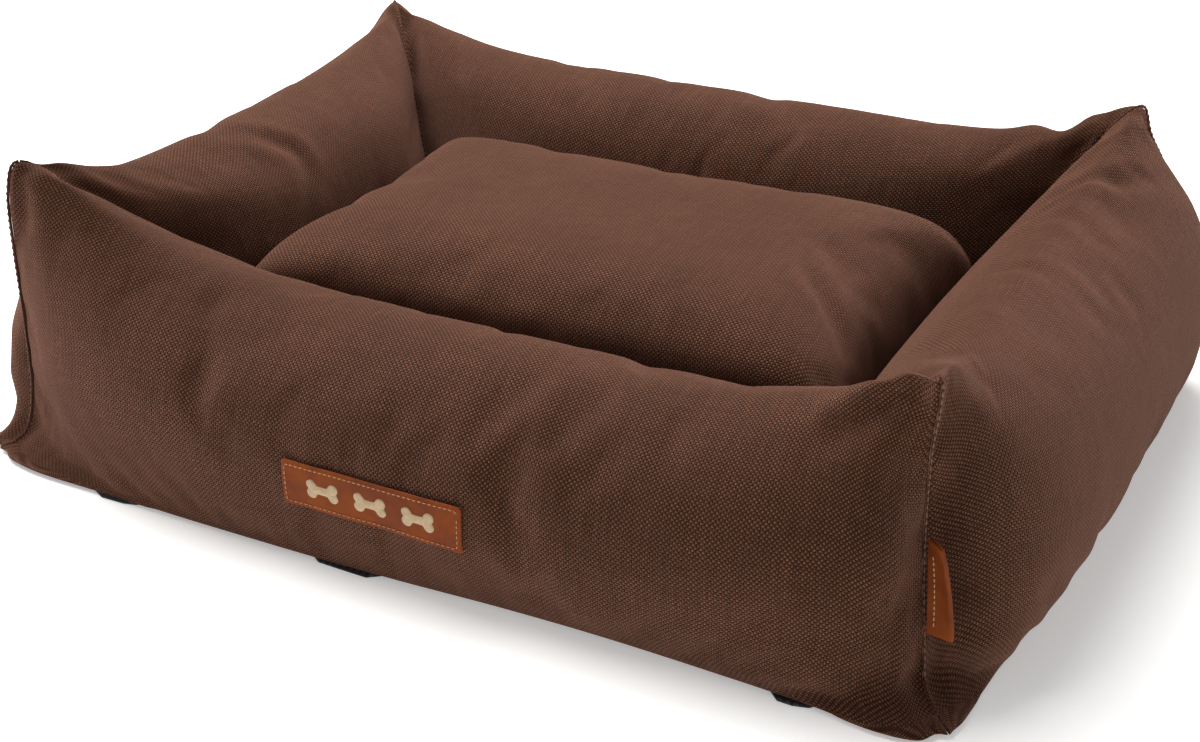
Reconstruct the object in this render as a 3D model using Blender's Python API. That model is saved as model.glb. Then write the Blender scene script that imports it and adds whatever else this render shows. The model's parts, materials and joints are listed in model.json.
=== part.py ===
# Pet cushion bed: four stuffed canvas walls around a loose, filled cushion.
# Metres, +Z up. The origin is the middle of the underside, +X runs along the bed's
# length to its right-hand end, and +Y runs to the back.

import math

import bmesh
import bpy
from mathutils import Matrix, Vector

# Overall sizes
BED_LENGTH = 0.600          # base, corner to corner, along X
BED_DEPTH = 0.440           # base, corner to corner, along Y
EAR_HEIGHT = 0.181          # tips of the four corner ears above the ground
EAR_INSET = 0.024           # how far an ear's tip leans in from the base corner
FRONT_HEIGHT = 0.130        # lowest point of the front wall's ridge
BACK_HEIGHT = 0.157
SIDE_HEIGHT = 0.160

# Walls
WALL_FOOT = 0.100           # wall width where it is sewn to the floor
OUTER_SWELL = 0.020         # how far a stuffed wall bulges out past its base seam
INNER_SWELL = 0.016         # how far it bulges in over its inner foot
CORNER_TUCK = 0.026         # how far a corner's seam draws in between its two walls
EAR_SHARPNESS = 4.0         # higher keeps the rise to the ear nearer the corner
CANVAS = 0.0012             # canvas thickness
SEWN_GAP = 0.0003           # clearance between pieces that touch
MITRE_GAP = 0.0003          # from a wall's end to the mitre plane of its corner

# Base
BASE_THICKNESS = 0.0020     # non-slip underside
BASE_INSET = 0.004
BASE_CORNER = 0.010
FLOOR_THICKNESS = 0.0012    # canvas floor of the nest

# Cushion
CUSHION_CLEARANCE = 0.004   # from the walls' inner bulge to the cushion's side
CUSHION_HEIGHT = 0.134      # top of its crown above the ground
CUSHION_SEAM = 0.062        # height of the seam between its two panels
CUSHION_SHOULDER = 0.086    # where its upright side starts to crown over
CUSHION_CORNER = 0.034
CUSHION_HEM = 0.014         # rounding under its lower edge
CUSHION_RECESS = 0.016      # its rear foot stands back, for the zip
FILL_CLEARANCE = 0.0010     # between a cover and the fill inside it

# Zips
ZIP_HEIGHT = 0.022          # middle of every zip above the ground
ZIP_END = 0.030             # from the end of a zip to the end of the face it is in
ZIP_SLOT = 0.009            # height of the opening in the cover
TAPE_WIDTH = 0.009
TAPE_THICKNESS = 0.0006
TAPE_GAP = 0.0014           # between the two coils, where the slider's neck runs
TAPE_OVERLAP = 0.006        # tape hidden behind the cover past each end of the slot
COIL_WIDTH = 0.0015
COIL_THICKNESS = 0.0011
SLIDER_LENGTH = 0.0070
SLIDER_WIDTH = 0.0056
SLIDER_PLATE = 0.0010
SLIDER_NECK = 0.0008
SLIDER_FLOAT = 0.0004       # clearance from the slider's plates to the tapes
SLIDER_STOP = 0.0010        # from the slider to the end of the slot when it is shut
BRIDGE_SPAN = 0.0032        # opening under the slider's bridge
BRIDGE_RISE = 0.0018
BRIDGE_BAR = 0.0008
BRIDGE_WIDTH = 0.0016
PULL_LENGTH = 0.0130
PULL_WIDTH = 0.0044
PULL_THICKNESS = 0.0009
PULL_PIN = 0.0010           # bar of the pull that runs under the bridge
PULL_WINDOW = 0.0028        # length of the hole that clears the bridge
PULL_CHEEK = 0.0009

# Label on the front wall
LABEL_WIDTH = 0.112
LABEL_HEIGHT = 0.027
LABEL_X = -0.012
LABEL_Z = 0.054
LABEL_THICKNESS = 0.0015
LABEL_STAND = 0.0008        # from the wall's facets to the back of the flat label
LABEL_CORNER = 0.002
STITCH_INSET = 0.0022
STITCH_WIDTH = 0.0007
STITCH_THICKNESS = 0.0004
BONE_COUNT = 3
BONE_PITCH = 0.030
BONE_LENGTH = 0.020
BONE_SHAFT = 0.0045
BONE_KNOB = 0.0036          # radius of each rounded end

# Folded tag in the front right corner seam
TAG_LOW = 0.042
TAG_HIGH = 0.092
TAG_REACH = 0.016
TAG_LEATHER = 0.0012
TAG_FOLD_GAP = 0.0008
TAG_CLEARANCE = 0.0026      # from the seam to the middle of the tag's root
TAG_AZIMUTH = -34.0         # degrees from +X
TAG_STITCH_LENGTH = 0.036

FOOT = BASE_THICKNESS + FLOOR_THICKNESS + 2 * SEWN_GAP
FACET_TOP = ZIP_HEIGHT + 2 * ZIP_SLOT
CUSHION_FOOT = FOOT + 2 * SEWN_GAP
CUSHION_EDGE = WALL_FOOT + INNER_SWELL + CUSHION_CLEARANCE
TAPE_FOOT = ZIP_HEIGHT - TAPE_GAP / 2 - TAPE_WIDTH - SEWN_GAP
ZIP_BACK = -CANVAS - SEWN_GAP                   # front face of the tapes
COIL_BACK = ZIP_BACK - COIL_THICKNESS
SLIDER_FRONT = ZIP_BACK + SLIDER_FLOAT + SLIDER_PLATE
SLIDER_BACK = COIL_BACK - SLIDER_FLOAT - SLIDER_PLATE
PIN_STAND = SLIDER_FRONT + BRIDGE_RISE / 2      # the pull's axis, out from the face
ZIP_DEPTH = -SLIDER_BACK + FILL_CLEARANCE       # room that the fill leaves for the zip

# name, length between corners, location of its base line, turn about Z, ridge height
WALLS = (
    ("front", BED_LENGTH, (0.0, -BED_DEPTH / 2, 0.0), 0.0, FRONT_HEIGHT),
    ("back", BED_LENGTH, (0.0, BED_DEPTH / 2, 0.0), math.pi, BACK_HEIGHT),
    ("left", BED_DEPTH, (-BED_LENGTH / 2, 0.0, 0.0), -math.pi / 2, SIDE_HEIGHT),
    ("right", BED_DEPTH, (BED_LENGTH / 2, 0.0, 0.0), math.pi / 2, SIDE_HEIGHT),
)


def clear_scene():
    for old in list(bpy.data.objects):
        bpy.data.objects.remove(old, do_unlink=True)


def make_material(name, colour, roughness, metallic=0.0):
    material = bpy.data.materials.new(name)
    material.use_nodes = True
    shader = material.node_tree.nodes["Principled BSDF"]
    shader.inputs["Base Color"].default_value = (*colour, 1.0)
    shader.inputs["Roughness"].default_value = roughness
    shader.inputs["Metallic"].default_value = metallic
    return material


def make_mesh(name, points, faces, smooth_angle=40.0):
    mesh = bpy.data.meshes.new(name)
    mesh.from_pydata([tuple(p) for p in points], [], faces)
    mesh.shade_smooth()
    mesh.set_sharp_from_angle(angle=math.radians(smooth_angle))
    return mesh


def add_object(name, mesh, material, location=(0.0, 0.0, 0.0), turn=0.0, parent=None):
    thing = bpy.data.objects.new(name, mesh)
    bpy.context.collection.objects.link(thing)
    if not mesh.materials:
        mesh.materials.append(material)
    thing.parent = parent
    thing.location = location
    thing.rotation_euler = (0.0, 0.0, turn)
    return thing


def add_frame(name, location, turn=0.0):
    frame = bpy.data.objects.new(name, None)
    bpy.context.collection.objects.link(frame)
    frame.location = location
    frame.rotation_euler = (0.0, 0.0, turn)
    return frame


# Solids from outlines, grids and rings

def thick_sheet(outer, inner, faces):
    # A sheet with two matching skins, closed along every open edge
    count = len(outer)
    border = {}
    for face in faces:
        for a, b in zip(face, face[1:] + face[:1]):
            if border.pop((b, a), None) is None:
                border[(a, b)] = True
    shell = [tuple(face) for face in faces]
    shell += [tuple(count + i for i in reversed(face)) for face in faces]
    shell += [(b, a, count + a, count + b) for a, b in border]
    return list(outer) + list(inner), shell


def grid_faces(rows, columns, skip=(), closed=False):
    # Two triangles a cell, always cut the same way, so that skins a cloth's
    # thickness apart follow each other where a cell is twisted
    faces = []
    for i in range(rows - 1):
        for j in range(columns if closed else columns - 1):
            if (i, j) not in skip:
                beside = (j + 1) % columns
                here, right = i * columns + j, i * columns + beside
                faces.append((here, right, right + columns))
                faces.append((here, right + columns, here + columns))
    return faces


def ring_faces(rings, points, skip=()):
    return grid_faces(rings, points, skip, closed=True)


def closed_loft(rings):
    # Rings run anticlockwise seen from the end that the loft goes towards
    count = len(rings[0])
    points = [p for ring in rings for p in ring]
    faces = ring_faces(len(rings), count)
    faces.append(tuple(reversed(range(count))))
    faces.append(tuple(range(len(points) - count, len(points))))
    return points, faces


def prism(outline, low, high, place):
    # place turns (first, second, along) into a point
    return closed_loft([[place(a, b, level) for a, b in outline] for level in (low, high)])


def box_outline(x0, x1, y0, y1):
    return [(x0, y0), (x1, y0), (x1, y1), (x0, y1)]


def rounded_outline(half_x, low_y, high_y, radius, stops=(), steps=4):
    # Anticlockwise; stops are extra points along the two long sides
    corners = ((half_x - radius, low_y + radius, -90), (half_x - radius, high_y - radius, 0),
               (-half_x + radius, high_y - radius, 90), (-half_x + radius, low_y + radius, 180))
    outline = []
    for index, (x, y, start) in enumerate(corners):
        for step in range(steps + 1):
            angle = math.radians(start + 90 * step / steps)
            outline.append((x + radius * math.cos(angle), y + radius * math.sin(angle)))
        if index == 1:
            outline += [(stop, high_y) for stop in sorted(stops, reverse=True)]
        if index == 3:
            outline += [(stop, low_y) for stop in sorted(stops)]
    return outline


def offset_path(path, distance):
    # Moves a (d, z) path to its right, keeping the wall of cloth even around bends
    moved = []
    for i, (d, z) in enumerate(path):
        before = path[max(i - 1, 0)]
        after = path[min(i + 1, len(path) - 1)]
        normals = []
        for (d0, z0), (d1, z1) in ((before, (d, z)), ((d, z), after)):
            length = math.hypot(d1 - d0, z1 - z0)
            if length > 0:
                normals.append(((z1 - z0) / length, (d0 - d1) / length))
        n_d = sum(n[0] for n in normals) / len(normals)
        n_z = sum(n[1] for n in normals) / len(normals)
        scale = distance / (n_d * n_d + n_z * n_z)
        moved.append((d + n_d * scale, z + n_z * scale))
    return moved


# Walls. A wall's own frame has X along it, Y into the bed and Z up.
# d is the distance in from the base seam.

def middle_section(height):
    inner = WALL_FOOT + INNER_SWELL
    return [
        (0.0, FOOT),
        (-0.75 * OUTER_SWELL, 0.18 * height),
        (-OUTER_SWELL, 0.45 * height),
        (-0.55 * OUTER_SWELL, 0.72 * height),
        (0.20 * WALL_FOOT, 0.94 * height),
        (0.52 * WALL_FOOT, height),
        (0.88 * WALL_FOOT, 0.86 * height),
        (inner, 0.60 * height),
        (inner - 0.5 * INNER_SWELL, 0.42 * height),
        (WALL_FOOT, FACET_TOP),
        (WALL_FOOT, ZIP_HEIGHT + ZIP_SLOT / 2),
        (WALL_FOOT, ZIP_HEIGHT - ZIP_SLOT / 2),
        (WALL_FOOT, FOOT),
    ]


def corner_section():
    back = WALL_FOOT - EAR_INSET
    return [
        (0.0, FOOT),
        (0.85 * CORNER_TUCK, 0.20 * EAR_HEIGHT),
        (CORNER_TUCK, 0.46 * EAR_HEIGHT),
        (0.75 * CORNER_TUCK + 0.25 * EAR_INSET, 0.74 * EAR_HEIGHT),
        (0.30 * CORNER_TUCK + 0.70 * EAR_INSET, 0.92 * EAR_HEIGHT),
        (EAR_INSET, EAR_HEIGHT),
        (EAR_INSET + 0.36 * back, 0.80 * EAR_HEIGHT),
        (EAR_INSET + 0.72 * back, 0.58 * EAR_HEIGHT),
        (EAR_INSET + 0.94 * back, 0.36 * EAR_HEIGHT),
        (WALL_FOOT, FACET_TOP),
        (WALL_FOOT, ZIP_HEIGHT + ZIP_SLOT / 2),
        (WALL_FOOT, ZIP_HEIGHT - ZIP_SLOT / 2),
        (WALL_FOOT, FOOT),
    ]


SLOT_ROW = 10               # the section's step that the zip's slot is cut from
FACET_ROW = 9               # first point of the upright inner foot


def wall_section(height, across):
    blend = abs(across) ** EAR_SHARPNESS
    return [((1 - blend) * d0 + blend * d1, (1 - blend) * z0 + blend * z1)
            for (d0, z0), (d1, z1) in zip(middle_section(height), corner_section())]


def place_on_wall(length, across, path):
    # Every point of an end lies on the corner's 45 degree mitre plane
    return [(across * (length / 2 - d - MITRE_GAP), d, z) for d, z in path]


def zip_half(length):
    return length / 2 - WALL_FOOT - ZIP_END


def wall_stations(length):
    # From the wall's right-hand end to its left-hand end, as shares of its half length
    slot = zip_half(length) / (length / 2 - WALL_FOOT - MITRE_GAP)
    half = sorted({0.0, 0.32, 0.60, slot, 0.90, 1.0})
    return [u for u in reversed(half) if u > 0] + [-u for u in half]


def wall_cover(length, height):
    stations = wall_stations(length)
    outer, inner = [], []
    for across in stations:
        section = wall_section(height, across)
        lining = offset_path(section, CANVAS)
        lining[0] = (lining[0][0], FOOT)
        lining[-1] = (lining[-1][0], FOOT)
        outer += place_on_wall(length, across, section)
        inner += place_on_wall(length, across, lining)
    inside_zip = zip_half(length) / (length / 2 - WALL_FOOT - MITRE_GAP)
    skip = {(i, SLOT_ROW) for i in range(len(stations) - 1)
            if max(abs(stations[i]), abs(stations[i + 1])) <= inside_zip}
    faces = grid_faces(len(stations), len(section), skip)
    return thick_sheet(outer, inner, faces)


def wall_fill(length, height):
    rings = []
    for across in wall_stations(length):
        section = offset_path(wall_section(height, across), CANVAS + FILL_CLEARANCE)
        core = [(d - (ZIP_DEPTH - CANVAS if i >= FACET_ROW else 0.0), z)
                for i, (d, z) in enumerate(section)]
        core[0] = (core[0][0], FOOT + FILL_CLEARANCE)
        core[-1] = (core[-1][0], FOOT + FILL_CLEARANCE)
        station = [(x - math.copysign(FILL_CLEARANCE, across) * (abs(across) == 1.0), d, z)
                   for x, d, z in place_on_wall(length, across, core)]
        rings.append(station)
    return closed_loft(rings)


def make_walls(canvas, stuffing, zip_parts):
    for name, length, location, turn, height in WALLS:
        frame = add_frame(f"{name}_wall_frame", location, turn)
        cover = make_mesh(f"{name}_wall_cover", *wall_cover(length, height))
        add_object(f"{name}_wall_cover", cover, canvas, parent=frame)
        fill = make_mesh(f"{name}_wall_fill", *wall_fill(length, height))
        add_object(f"{name}_wall_fill", fill, stuffing, parent=frame)
        make_zip(name, zip_half(length), (0.0, WALL_FOOT, ZIP_HEIGHT), frame, zip_parts)


# Zips. A zip's own frame has X along the tape, Y out of the face and Z up.

def make_tape(half_length, side):
    # side is +1 for the tape above the coil gap and -1 for the one below
    near = side * TAPE_GAP / 2
    coil = near + side * COIL_WIDTH
    far = near + side * TAPE_WIDTH
    outline = [(near, ZIP_BACK), (near, COIL_BACK), (coil, COIL_BACK),
               (coil, ZIP_BACK - TAPE_THICKNESS), (far, ZIP_BACK - TAPE_THICKNESS),
               (far, ZIP_BACK)]
    if side < 0:
        outline.reverse()
    end = half_length + TAPE_OVERLAP
    return prism(outline, end, -end, lambda z, y, x: (x, y, z))


def make_slider():
    # Two plates joined by a neck, with a bridge for the pull standing on the front one
    half, neck = SLIDER_WIDTH / 2, SLIDER_NECK / 2
    top, bottom = SLIDER_FRONT - SLIDER_PLATE, SLIDER_BACK + SLIDER_PLATE
    body = [(SLIDER_BACK, -half), (SLIDER_BACK, half), (bottom, half), (bottom, neck),
            (top, neck), (top, half), (SLIDER_FRONT, half), (SLIDER_FRONT, -half),
            (top, -half), (top, -neck), (bottom, -neck), (bottom, -half)]
    body_mesh = make_mesh("slider_body", *prism(
        body, SLIDER_LENGTH / 2, -SLIDER_LENGTH / 2, lambda y, z, x: (x, y, z)))
    opening = BRIDGE_SPAN / 2
    outside = opening + BRIDGE_BAR
    root = SLIDER_FRONT - SLIDER_PLATE / 2
    under = SLIDER_FRONT + BRIDGE_RISE
    over = under + BRIDGE_BAR
    arch = [(-outside, root), (-opening, root), (-opening, under), (opening, under),
            (opening, root), (outside, root), (outside, over), (-outside, over)]
    arch_mesh = make_mesh("slider_bridge", *prism(
        arch, -BRIDGE_WIDTH / 2, BRIDGE_WIDTH / 2, lambda x, y, z: (x, y, z)))
    return join_meshes("zip_slider", body_mesh, arch_mesh)


def join_meshes(name, first_mesh, second_mesh):
    first = bpy.data.objects.new(name, first_mesh)
    second = bpy.data.objects.new(f"{name}_other", second_mesh)
    for thing in (first, second):
        bpy.context.collection.objects.link(thing)
    union = first.modifiers.new("union", "BOOLEAN")
    union.operation = "UNION"
    union.solver = "EXACT"
    union.object = second
    view = bpy.context.evaluated_depsgraph_get()
    joined = bpy.data.meshes.new_from_object(first.evaluated_get(view))
    joined.name = name
    for thing in (first, second):
        bpy.data.objects.remove(thing, do_unlink=True)
    return joined


def make_pull():
    # A flat tab whose pin runs under the bridge; its origin is the pin's axis
    far = PULL_PIN / 2 + PULL_WINDOW
    lengths = (-PULL_PIN / 2, PULL_PIN / 2, far, 0.8 * PULL_LENGTH, PULL_LENGTH)
    half = PULL_WIDTH / 2
    widths = (-half, -half + PULL_CHEEK, half - PULL_CHEEK, half)
    skins = []
    for y in (-PULL_THICKNESS / 2, PULL_THICKNESS / 2):
        skins.append([(-x, y, z * (0.7 if x == PULL_LENGTH else 1.0))
                      for x in lengths for z in widths])
    faces = grid_faces(len(lengths), len(widths), skip={(1, 1)})
    return make_mesh("zip_pull", *thick_sheet(skins[0], skins[1], faces))


def make_zip(name, half_length, centre, parent, zip_parts):
    tape, metal, slider, pull = zip_parts
    for side, word in ((1, "upper"), (-1, "lower")):
        mesh = make_mesh(f"{name}_tape", *make_tape(half_length, side))
        add_object(f"{name}_zip_tape_{word}", mesh, tape, centre, parent=parent)
    shut = half_length - SLIDER_LENGTH / 2 - SLIDER_STOP
    x, y, z = centre
    add_object(f"{name}_zip_slider", slider, metal, (x + shut, y, z), parent=parent)
    add_object(f"{name}_zip_pull", pull, metal, (x + shut, y + PIN_STAND, z), parent=parent)


# Base and cushion

def make_base(non_slip, canvas):
    half_x, half_y = BED_LENGTH / 2, BED_DEPTH / 2
    layers = (("base_panel", BASE_INSET, 0.0, BASE_THICKNESS, non_slip),
              ("floor_panel", 0.0, BASE_THICKNESS + SEWN_GAP, FLOOR_THICKNESS, canvas))
    for name, inset, low, thickness, material in layers:
        outline = rounded_outline(half_x - inset, inset - half_y, half_y - inset, BASE_CORNER)
        solid = prism(outline, low, low + thickness, lambda x, y, z: (x, y, z))
        add_object(name, make_mesh(name, *solid), material)


def cushion_paths():
    # (inset, z) from the middle of the underside out to the seam, then up to the crown
    crown = CUSHION_HEIGHT - CUSHION_SHOULDER
    reach = BED_DEPTH / 2 - CUSHION_EDGE
    under = [(0.82 * reach, CUSHION_FOOT), (CUSHION_HEM, CUSHION_FOOT),
             (0.3 * CUSHION_HEM, 0.75 * CUSHION_FOOT + 0.25 * TAPE_FOOT), (0.0, TAPE_FOOT),
             (0.0, ZIP_HEIGHT - ZIP_SLOT / 2), (0.0, ZIP_HEIGHT + ZIP_SLOT / 2),
             (0.0, FACET_TOP), (0.0, 0.85 * CUSHION_SEAM + 0.15 * FACET_TOP),
             (0.0, CUSHION_SEAM - SEWN_GAP)]
    over = [(0.0, CUSHION_SEAM), (0.0, CUSHION_SHOULDER),
            (0.10 * reach, CUSHION_SHOULDER + 0.36 * crown),
            (0.28 * reach, CUSHION_SHOULDER + 0.68 * crown),
            (0.55 * reach, CUSHION_SHOULDER + 0.92 * crown),
            (0.82 * reach, CUSHION_HEIGHT)]
    return under, over


def cushion_ring(inset, z, depth=0.0):
    # Below the facet's top the rear side stands back, to make room for the zip
    half_x = BED_LENGTH / 2 - CUSHION_EDGE - inset
    half_y = BED_DEPTH / 2 - CUSHION_EDGE - inset
    recess = CUSHION_RECESS + depth if z <= FACET_TOP + SEWN_GAP else 0.0
    if inset > CUSHION_RECESS:
        recess = 0.0
    radius = max(CUSHION_CORNER - 0.4 * inset, 0.35 * half_y)
    radius = min(radius, 0.9 * (half_y - recess / 2))
    slot = cushion_zip_half()
    stops = [stop for stop in (-slot, 0.0, slot)]
    stops = [min(max(stop, -half_x + radius + CANVAS), half_x - radius - CANVAS) for stop in stops]
    outline = rounded_outline(half_x, -half_y, half_y - recess, radius, stops)
    return [(x, y, z) for x, y in outline]


def cushion_zip_half():
    return BED_LENGTH / 2 - CUSHION_EDGE - CUSHION_CORNER - ZIP_END


def make_cushion(canvas, stuffing, zip_parts):
    under, over = cushion_paths()
    for name, path, cap_row in (("bottom", under, 0), ("top", over, -1)):
        rings = [cushion_ring(*point) for point in path]
        lining = offset_path(path, CANVAS)
        seam = -1 if cap_row == 0 else 0
        lining[seam] = (lining[seam][0], path[seam][1])
        lining = [cushion_ring(*point) for point in lining]
        count = len(rings[0])
        skip = set()
        cap = tuple(range((len(path) - 1) * count, len(path) * count))
        if name == "bottom":
            cap = tuple(reversed(range(count)))
            slot_row = [z for d, z in path].index(ZIP_HEIGHT - ZIP_SLOT / 2)
            # the rear side's three stops follow the second corner
            skip = {(slot_row, 10), (slot_row, 11)}
        faces = ring_faces(len(path), count, skip) + [cap]
        outer = [p for ring in rings for p in ring]
        inner = [p for ring in lining for p in ring]
        mesh = make_mesh(f"cushion_{name}_panel", *thick_sheet(outer, inner, faces))
        add_object(f"cushion_{name}_panel", mesh, canvas)
    inside = offset_path(under[:-1] + over[1:], CANVAS + FILL_CLEARANCE)
    zip_room = ZIP_DEPTH - CANVAS - FILL_CLEARANCE
    fill = closed_loft([cushion_ring(d, z, zip_room) for d, z in inside])
    add_object("cushion_fill", make_mesh("cushion_fill", *fill), stuffing)
    rear = BED_DEPTH / 2 - CUSHION_EDGE - CUSHION_RECESS
    make_zip("cushion", cushion_zip_half(), (0.0, rear, ZIP_HEIGHT), None, zip_parts)


# Leather label and tag

def point_on_front(x, z):
    # The front wall's outer face, in the bed's frame
    across = x / (BED_LENGTH / 2)
    path = wall_section(FRONT_HEIGHT, across)[:4]
    for (d0, z0), (d1, z1) in zip(path, path[1:]):
        if z0 <= z <= z1:
            share = (z - z0) / (z1 - z0)
            return Vector((x, d0 + share * (d1 - d0) - BED_DEPTH / 2, z))
    return Vector((x, path[-1][0] - BED_DEPTH / 2, z))


def bone_outline(centre_x, centre_y):
    # A straight shaft with two round knobs at each end
    half = BONE_LENGTH / 2 - BONE_KNOB
    offset = BONE_SHAFT / 2
    outline = []
    for side, knob, start, sweep in ((1, -1, -110, 150), (1, 1, -40, 150),
                                     (-1, 1, 70, 150), (-1, -1, 140, 150)):
        x = centre_x + side * half
        y = centre_y + knob * offset
        for step in range(6):
            angle = math.radians(start + sweep * step / 5)
            outline.append((x + BONE_KNOB * math.cos(angle), y + BONE_KNOB * math.sin(angle)))
    return outline


def make_label(leather, thread):
    # The label's frame has X along it, Z up and -Y facing out
    half_width, half_height = LABEL_WIDTH / 2, LABEL_HEIGHT / 2
    left = point_on_front(LABEL_X - half_width, LABEL_Z)
    right = point_on_front(LABEL_X + half_width, LABEL_Z)
    middle = point_on_front(LABEL_X, LABEL_Z)
    chord = right - left
    turn = math.atan2(chord.y, chord.x)
    normal = Vector((math.sin(turn), -math.cos(turn), 0.0))
    stand = LABEL_STAND + max(0.0, normal.dot(middle - left))
    centre = (left + right) / 2 + normal * stand
    frame = add_frame("label_frame", centre, turn)
    flat = lambda x, z, y: (x, -y, z)

    patch = rounded_outline(half_width, -half_height, half_height, LABEL_CORNER, steps=3)
    add_object("front_label", make_mesh("front_label", *prism(
        patch, 0.0, LABEL_THICKNESS, flat)), leather, parent=frame)

    face = LABEL_THICKNESS + SEWN_GAP
    wide, high = half_width - STITCH_INSET, half_height - STITCH_INSET
    loops = []
    for level in (face, face + STITCH_THICKNESS):
        for inset in (0.0, STITCH_WIDTH):
            loops.append([flat(x, z, level) for x, z in rounded_outline(
                wide - inset, inset - high, high - inset, LABEL_CORNER - inset, steps=2)])
    low_out, low_in, high_out, high_in = loops
    count = len(low_out)
    points = low_out + high_out + high_in + low_in
    faces = ring_faces(4, count)
    faces += [(3 * count + j, 3 * count + (j + 1) % count, (j + 1) % count, j)
              for j in range(count)]
    add_object("label_stitching", make_mesh("label_stitching", points, faces), thread,
               parent=frame)

    for index in range(BONE_COUNT):
        centre_x = (index - (BONE_COUNT - 1) / 2) * BONE_PITCH
        bone = prism(bone_outline(centre_x, 0.0), face, face + STITCH_THICKNESS, flat)
        name = f"label_bone_{index + 1}"
        add_object(name, make_mesh(name, *bone), thread, parent=frame)


def seam_point(z):
    # Outer corner seam at the front right, at height z
    path = corner_section()[:6]
    for (d0, z0), (d1, z1) in zip(path, path[1:]):
        if z0 <= z <= z1:
            d = d0 + (z - z0) / (z1 - z0) * (d1 - d0)
            return Vector((BED_LENGTH / 2 - d, d - BED_DEPTH / 2, z))
    return Vector((BED_LENGTH / 2, -BED_DEPTH / 2, z))


def make_tag(leather, thread):
    # Folded strip that swings on the corner seam, which leans in a little
    low, high = seam_point(TAG_LOW), seam_point(TAG_HIGH)
    up = (high - low).normalized()
    azimuth = math.radians(TAG_AZIMUTH)
    ahead = Vector((math.cos(azimuth), math.sin(azimuth), 0.0))
    ahead = (ahead - up * ahead.dot(up)).normalized()
    side = up.cross(ahead)
    outward = Vector((1.0, -1.0, 0.0)).normalized()
    frame = add_frame("tag_frame", (0.0, 0.0, 0.0))
    turn = Matrix((ahead, side, up)).transposed().to_4x4()
    frame.matrix_world = Matrix.Translation(low + outward * TAG_CLEARANCE) @ turn

    inside = TAG_FOLD_GAP / 2
    outside = inside + TAG_LEATHER
    fold = TAG_REACH - TAG_LEATHER
    outline = [(0.0, -outside), (TAG_REACH - outside, -outside), (TAG_REACH, -inside),
               (TAG_REACH, inside), (TAG_REACH - outside, outside), (0.0, outside),
               (0.0, inside), (fold, inside), (fold, -inside), (0.0, -inside)]
    tall = (high - low).length
    upright = lambda x, y, z: (x, y, z)
    add_object("corner_tag", make_mesh("corner_tag", *prism(outline, 0.0, tall, upright)),
               leather, parent=frame)
    near = 0.5 * TAG_REACH - STITCH_WIDTH / 2
    line = box_outline(near, near + STITCH_WIDTH,
                       -outside - SEWN_GAP - STITCH_THICKNESS, -outside - SEWN_GAP)
    margin = (tall - TAG_STITCH_LENGTH) / 2
    add_object("corner_tag_stitching", make_mesh("corner_tag_stitching", *prism(
        line, margin, tall - margin, upright)), thread, parent=frame)


def main():
    clear_scene()
    canvas = make_material("brown_canvas", (0.085, 0.038, 0.026), 0.9)
    non_slip = make_material("black_non_slip", (0.008, 0.008, 0.008), 0.95)
    stuffing = make_material("white_fibre", (0.80, 0.79, 0.76), 1.0)
    tape = make_material("brown_zip_tape", (0.050, 0.024, 0.017), 0.8)
    metal = make_material("dark_zip_metal", (0.10, 0.075, 0.055), 0.4, 1.0)
    leather = make_material("tan_leather", (0.30, 0.085, 0.025), 0.5)
    thread = make_material("cream_thread", (0.62, 0.47, 0.30), 0.8)
    zip_parts = (tape, metal, make_slider(), make_pull())
    make_base(non_slip, canvas)
    make_walls(canvas, stuffing, zip_parts)
    make_cushion(canvas, stuffing, zip_parts)
    make_label(leather, thread)
    make_tag(leather, thread)


main()
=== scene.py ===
# Pet cushion bed: canvas walls over fibre bolsters, a loose cushion, leather label and tag.
# Metres, +Z up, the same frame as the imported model.

import json
import math

import bpy
import numpy as np
from mathutils import Matrix, Quaternion, Vector
from mathutils.bvhtree import BVHTree


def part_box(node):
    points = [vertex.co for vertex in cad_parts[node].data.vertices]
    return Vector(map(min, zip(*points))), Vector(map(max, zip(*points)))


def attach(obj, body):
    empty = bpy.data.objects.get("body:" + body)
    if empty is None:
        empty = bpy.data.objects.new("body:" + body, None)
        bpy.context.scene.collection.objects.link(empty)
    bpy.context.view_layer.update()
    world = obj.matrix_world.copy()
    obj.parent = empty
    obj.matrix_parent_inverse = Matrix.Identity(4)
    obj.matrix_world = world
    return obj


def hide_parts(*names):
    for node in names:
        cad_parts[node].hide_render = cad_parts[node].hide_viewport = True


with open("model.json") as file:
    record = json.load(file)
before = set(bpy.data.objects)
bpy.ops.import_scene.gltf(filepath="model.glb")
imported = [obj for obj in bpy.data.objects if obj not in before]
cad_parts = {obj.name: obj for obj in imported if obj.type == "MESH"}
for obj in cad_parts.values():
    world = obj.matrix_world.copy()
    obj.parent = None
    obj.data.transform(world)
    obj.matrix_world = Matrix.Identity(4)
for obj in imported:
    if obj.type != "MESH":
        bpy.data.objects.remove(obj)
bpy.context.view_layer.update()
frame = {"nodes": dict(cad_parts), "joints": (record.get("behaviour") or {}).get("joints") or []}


# Small tools
def smoothStep(low, high, value):
    t = np.clip((value - low) / (high - low), 0.0, 1.0)
    return t * t * (3.0 - 2.0 * t)


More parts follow.
